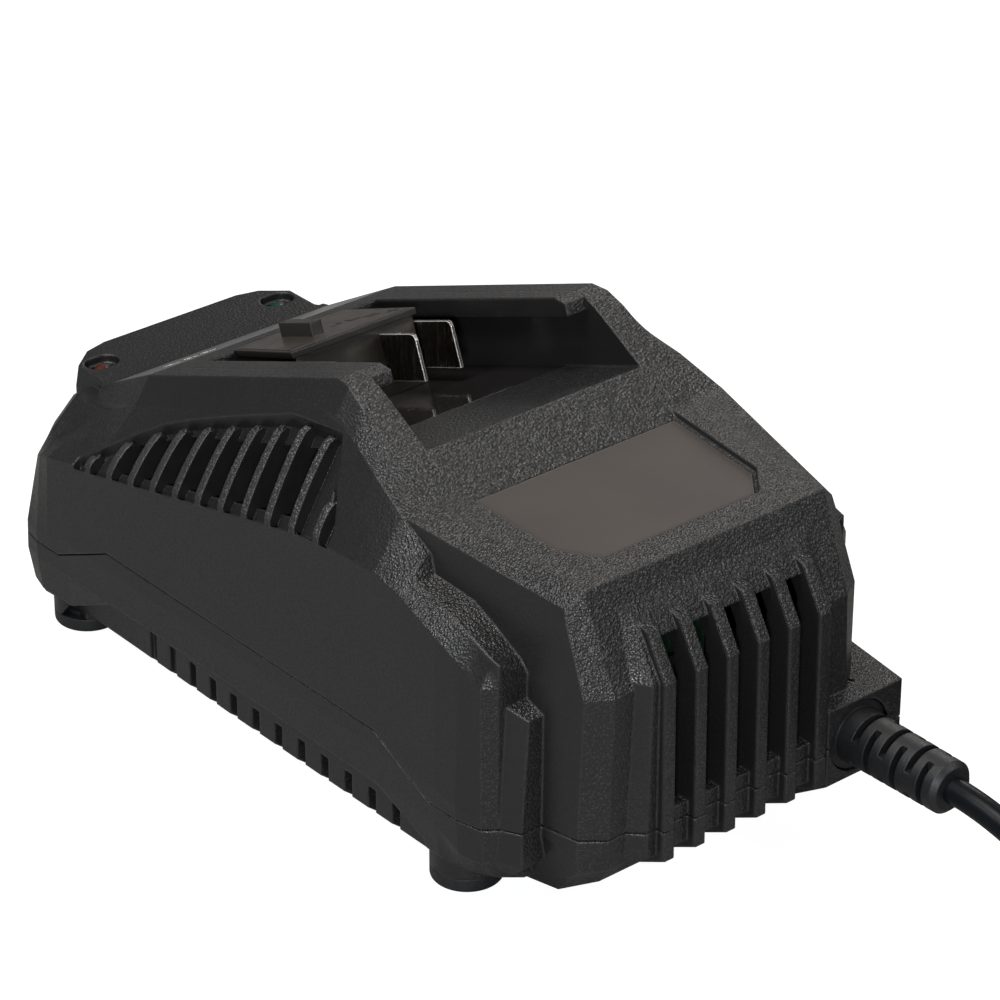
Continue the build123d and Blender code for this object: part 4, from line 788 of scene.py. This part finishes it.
def slab(name, plane, outlines, low, high, finish):
    """Thin plates of given outlines on a sloping plane, from one level to another."""
    verts, faces = [], []
    for outline in outlines:
        base = len(verts)
        count = len(outline)
        verts += [on_plane(plane, x, y, low) for x, y in outline]
        verts += [on_plane(plane, x, y, high) for x, y in outline]
        faces.append(tuple(base + i for i in range(count)))
        faces.append(tuple(base + count + i for i in range(count)))
        for i in range(count):
            j = (i + 1) % count
            faces.append((base + i, base + j, base + count + j, base + count + i))
    return mesh_piece(name, verts, faces, finish, smooth=False)


def bar(x, y, width, height):
    """Outline of a plain bar about its middle."""
    return [(x - width / 2, y - height / 2), (x + width / 2, y - height / 2),
            (x + width / 2, y + height / 2), (x - width / 2, y + height / 2)]


class CHARGER_OT_polarity(bpy.types.Operator):
    """Mark the poles on the terminal cover and the lights on the inlay"""

    bl_idname = "charger.polarity"
    bl_label = "Polarity marks"

    def execute(self, context):
        face = [(-16.9, 46.4), (16.9, 46.4), (15.4, 71.2), (-15.4, 71.2)]
        panel = slab("cover_panel", RAIL_TOPS, [face], -0.3, 0.12, "cover")
        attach(panel, BODY)
        minus = [bar(-14.6, 47.9, 3.9, 0.8)]
        plus = [bar(15.2, 49.5, 3.6, 0.8), bar(15.2, 50.7, 0.8, 1.6), bar(15.2, 48.3, 0.8, 1.6)]
        strokes = [bar(3.4, 56.4, 3.4, 0.9), bar(4.7, 57.4, 0.9, 1.9), bar(8.2, 55.4, 3.2, 0.9),
                   bar(7.1, 56.6, 0.9, 2.6), bar(11.4, 52.0, 3.6, 0.8),
                   bar(11.4, 54.0, 3.6, 0.8)]
        marks = slab("polarity_marks", RAIL_TOPS, minus + plus + strokes, -0.1, 0.16, "mark")
        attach(marks, BODY)
        dashes = []
        for x in (-23.0, -17.6, -12.4):
            dashes += [bar(x, 10.6, 3.0, 1.0), bar(x - 0.5, 13.0, 2.0, 1.0)]
        signs = slab("light_signs", INLAY, dashes, -0.3, 0.05, "ink")
        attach(signs, BODY)
        return {"FINISHED"}


# ---------------------------------------------------------------- louvres
LOUVRES = 11
FIRST_LOUVRE = 75.1
LOUVRE_PITCH = 8.75
# Place behind the front, and the lower and upper corner of the flank's slope there.
SLOPE_LINES = ((66.7, (54.2, 48.0), (44.1, 64.1)), (79.0, (54.2, 47.6), (41.5, 67.8)),
               (88.6, (54.2, 45.8), (41.0, 69.6)), (161.0, (54.2, 28.7), (41.0, 41.26)),
               (173.0, (54.1, 26.0), (40.6, 35.0)))
# Share of the slope's height that each louvre reaches, from the front.
TIPS = (0.42, 0.86, 0.855, 0.845, 0.83, 0.81, 0.78, 0.74, 0.66, 0.49, 0.22)
LOUVRE_ROOT = -5.0  # how deep a louvre's foot is sunk into the case
BOW_STEPS = 8
BOW_END = 0.9  # share of a louvre at which its bow has run out
MERGE = 0.000001  # distance in metres under which two points of a louvre are one


def slope_line(behind):
    """Lower and upper corner of the flank's slope at a place along the case."""
    for (y0, low0, high0), (y1, low1, high1) in zip(SLOPE_LINES, SLOPE_LINES[1:]):
        if y0 <= behind <= y1:
            part = (behind - y0) / (y1 - y0)
            return (Vector(low0).lerp(Vector(low1), part),
                    Vector(high0).lerp(Vector(high1), part))


def louvre_outline(index, side, crown):
    """Side outline of one louvre: a bowed outer edge that drops to a free tip."""
    behind = FIRST_LOUVRE + LOUVRE_PITCH * index
    low, high = slope_line(behind)
    run = high - low
    out = Vector((run.y, -run.x)).normalized()
    tip = TIPS[index]
    shares = [(-0.03, LOUVRE_ROOT), (-0.03, -1.6), (0.01, 0.1)]
    for k in range(1, BOW_STEPS):
        share = k / BOW_STEPS * BOW_END
        shares.append((share * tip, 0.2 + crown * math.sin(math.pi * share)))
    shares += [(tip * 0.94, 0.1), (tip, -0.9), (tip + 0.02, LOUVRE_ROOT)]
    points = []
    for share, offset in shares:
        x, z = low + run * share + out * offset
        points.append(spot(side * x, behind, z))
    return points


def louvre_tree(edge, side):
    """Node tree that gives each outline its thickness and its two finishes: the edge finish, and
    painted shade on the cheeks.
    """
    tree = bpy.data.node_groups.new("louvres", "GeometryNodeTree")
    tree.interface.new_socket("Outlines", in_out="INPUT", socket_type="NodeSocketGeometry")
    tree.interface.new_socket("Thickness", in_out="INPUT", socket_type="NodeSocketFloat")
    tree.interface.new_socket("Louvres", in_out="OUTPUT", socket_type="NodeSocketGeometry")
    start = tree.nodes.new("NodeGroupInput")
    end = tree.nodes.new("NodeGroupOutput")
    away = tree.nodes.new("ShaderNodeCombineXYZ")
    thicken = tree.nodes.new("GeometryNodeExtrudeMesh")
    thicken.inputs["Individual"].default_value = False
    thicken.inputs["Offset Scale"].default_value = 1.0
    flip = tree.nodes.new("GeometryNodeFlipFaces")
    both = tree.nodes.new("GeometryNodeJoinGeometry")
    sealed = tree.nodes.new("GeometryNodeMergeByDistance")
    sealed.inputs["Distance"].default_value = MERGE
    real = tree.nodes.new("GeometryNodeRealizeInstances")
    shaded_cheeks = tree.nodes.new("GeometryNodeSetMaterial")
    shaded_cheeks.inputs["Material"].default_value = side
    edges = tree.nodes.new("GeometryNodeSetMaterial")
    edges.inputs["Material"].default_value = edge
    for source, target in (
            (start.outputs["Thickness"], away.inputs["Y"]),
            (start.outputs["Outlines"], thicken.inputs["Mesh"]),
            (away.outputs[0], thicken.inputs["Offset"]),
            (start.outputs["Outlines"], flip.inputs[0]),
            (thicken.outputs["Mesh"], shaded_cheeks.inputs["Geometry"]),
            (shaded_cheeks.outputs[0], edges.inputs["Geometry"]),
            (thicken.outputs["Side"], edges.inputs["Selection"]),
            (edges.outputs[0], both.inputs[0]),
            (flip.outputs[0], both.inputs[0]),
            (both.outputs[0], sealed.inputs[0]),
            (sealed.outputs[0], real.inputs[0]),
            (real.outputs[0], end.inputs[0])):
        tree.links.new(source, target)
    return tree


class CHARGER_OT_louvres(bpy.types.Operator):
    """Make the louvres of both flanks"""

    bl_idname = "charger.louvres"
    bl_label = "Flank louvres"

    def execute(self, context):
        size = sizes()
        half = size.louvre / 2
        tree = louvre_tree(finish_of("louvre"), finish_of("painted_shade"))
        socket = tree.interface.items_tree["Thickness"].identifier
        for side, name in ((-1, "louvres_left"), (1, "louvres_right")):
            verts, faces = [], []
            for index in range(LOUVRES):
                outline = louvre_outline(index, side, size.crown * 1000)
                if side < 0:
                    outline.reverse()
                faces.append(tuple(range(len(verts), len(verts) + len(outline))))
                verts += [point - Vector((0, half, 0)) for point in outline]
            mesh = bpy.data.meshes.new(name)
            mesh.from_pydata([tuple(v) for v in verts], [], faces)
            mesh.materials.append(finish_of("painted_shade"))
            piece = bpy.data.objects.new(name, mesh)
            context.collection.objects.link(piece)
            nodes = piece.modifiers.new("louvres", "NODES")
            nodes.node_group = tree
            nodes[socket] = size.louvre
            seal(piece)
            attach(piece, BODY)
        return {"FINISHED"}


# ---------------------------------------------------------------- stage
CAMERA_AT = Vector((-0.5200, -0.64315, 0.5093))
CAMERA_TURN = math.radians(39.92)
CAMERA_DROP = math.radians(29.05)
CAMERA_LENS = 148.137
FLOOR_HALF = 6.0
FLOOR_TONE = 0.28
FLOOR_GLOW = 0.9  # light of its own that the camera sees, so that the floor stays pale
SURROUND = 0.05  # light that the surroundings cast
SHEEN = 0.09  # share of the surroundings that shows in polished faces
WHITE = (1, 1, 1, 1)
LAMP_AIM = Vector((0, 0, 0.05))
# Name, place, size, watts and colour of each lamp.
LAMPS = (("key", (-0.25, 0.05, 1.45), 0.55, 15.5, (1.0, 0.94, 0.89)),
         ("fill", (-0.90, 0.22, 1.15), 0.30, 6.5, (0.94, 0.98, 1.0)),
         ("left", (-0.90, -1.00, 0.55), 0.16, 15.0, (0.96, 0.98, 1.0)),
         ("front", (0.75, -0.85, 0.85), 0.3, 4.0, (1.0, 1.0, 1.0)),
         ("rim", (0.9, 0.6, 0.5), 0.4, 2.0, (1.0, 0.96, 0.92)))


def area_lamp(name, place, size, power, colour):
    """Square lamp that looks at the charger."""
    data = bpy.data.lights.new(name, "AREA")
    data.shape = "SQUARE"
    data.size = size
    data.energy = power
    data.color = colour
    lamp = bpy.data.objects.new(name, data)
    bpy.context.collection.objects.link(lamp)
    lamp.location = place
    lamp.rotation_mode = "QUATERNION"
    lamp.rotation_quaternion = (LAMP_AIM - Vector(place)).to_track_quat("-Z", "Y")


class CHARGER_OT_stage(bpy.types.Operator):
    """Set the camera, floor and lamps"""

    bl_idname = "charger.stage"
    bl_label = "Stage"

    def camera(self, context):
        data = bpy.data.cameras.new("view")
        data.sensor_width = 36.0
        data.lens = CAMERA_LENS
        data.clip_start = 0.05
        camera = bpy.data.objects.new("view", data)
        context.collection.objects.link(camera)
        a, e = CAMERA_TURN, CAMERA_DROP
        right = Vector((math.cos(a), -math.sin(a), 0))
        ahead = Vector((math.sin(a) * math.cos(e), math.cos(a) * math.cos(e), -math.sin(e)))
        over = right.cross(ahead)
        turn = Matrix((right, over, -ahead)).transposed().to_4x4()
        camera.matrix_world = Matrix.Translation(CAMERA_AT) @ turn
        context.scene.camera = camera

    def floor(self):
        far = FLOOR_HALF
        verts = [(-far, -far, 0), (far, -far, 0), (far, far, 0), (-far, far, 0)]
        mesh = bpy.data.meshes.new("floor")
        mesh.from_pydata(verts, [], [(0, 1, 2, 3)])
        floor = bpy.data.objects.new("floor", mesh)
        bpy.context.collection.objects.link(floor)
        material = bpy.data.materials.new("pale_floor")
        material.use_nodes = True
        tree = material.node_tree
        shader = tree.nodes["Principled BSDF"]
        shader.inputs["Base Color"].default_value = (FLOOR_TONE, FLOOR_TONE, FLOOR_TONE, 1)
        shader.inputs["Roughness"].default_value = 0.9
        shader.inputs["Specular IOR Level"].default_value = 0.1
        rays = tree.nodes.new("ShaderNodeLightPath")
        glow = calculate(tree, "MULTIPLY", rays.outputs["Is Camera Ray"], FLOOR_GLOW)
        shader.inputs["Emission Color"].default_value = WHITE
        tree.links.new(glow, shader.inputs["Emission Strength"])
        mesh.materials.append(material)

    def world(self, scene):
        world = bpy.data.worlds.new("studio")
        world.use_nodes = True
        tree = world.node_tree
        glow = tree.nodes["Background"]
        glow.inputs["Color"].default_value = WHITE
        rays = tree.nodes.new("ShaderNodeLightPath").outputs
        straight = calculate(tree, "MAXIMUM", rays["Is Camera Ray"], rays["Is Transmission Ray"])
        sheen = calculate(tree, "MULTIPLY", rays["Is Glossy Ray"], SHEEN)
        strength = tree.nodes.new("ShaderNodeMapRange")
        strength.inputs["To Min"].default_value = SURROUND
        strength.inputs["To Max"].default_value = 1.0
        tree.links.new(calculate(tree, "MAXIMUM", straight, sheen), strength.inputs["Value"])
        tree.links.new(strength.outputs["Result"], glow.inputs["Strength"])
        scene.world = world

    def execute(self, context):
        self.camera(context)
        self.floor()
        self.world(context.scene)
        context.scene.view_settings.view_transform = "Standard"
        for lamp in LAMPS:
            area_lamp(*lamp)
        return {"FINISHED"}


# ---------------------------------------------------------------- panel and run
STEPS = ("stage", "lead", "tie", "plug", "finishes", "louvres", "polarity")


class CHARGER_PT_tools(bpy.types.Panel):
    """Lists the charger's sizes, colours and steps"""

    bl_idname = "CHARGER_PT_tools"
    bl_label = "Charger"
    bl_space_type = "VIEW_3D"
    bl_region_type = "UI"
    bl_category = "Charger"

    def draw(self, context):
        layout = self.layout
        for group in (context.scene.charger_sizes, context.scene.charger_colours):
            for name in group.__annotations__:
                layout.prop(group, name)
        for step in STEPS:
            layout.operator("charger." + step)


CLASSES = (ChargerColours, ChargerSizes, CHARGER_OT_stage, CHARGER_OT_lead, CHARGER_OT_tie,
           CHARGER_OT_plug, CHARGER_OT_finishes, CHARGER_OT_louvres, CHARGER_OT_polarity,
           CHARGER_PT_tools)


def register():
    for made in CLASSES:
        bpy.utils.register_class(made)
    bpy.types.Scene.charger_colours = PointerProperty(type=ChargerColours)
    bpy.types.Scene.charger_sizes = PointerProperty(type=ChargerSizes)


def unregister():
    del bpy.types.Scene.charger_sizes
    del bpy.types.Scene.charger_colours
    for made in reversed(CLASSES):
        bpy.utils.unregister_class(made)


def main():
    register()
    for step in STEPS:
        getattr(bpy.ops.charger, step)()


if __name__ == "__main__":
    main()
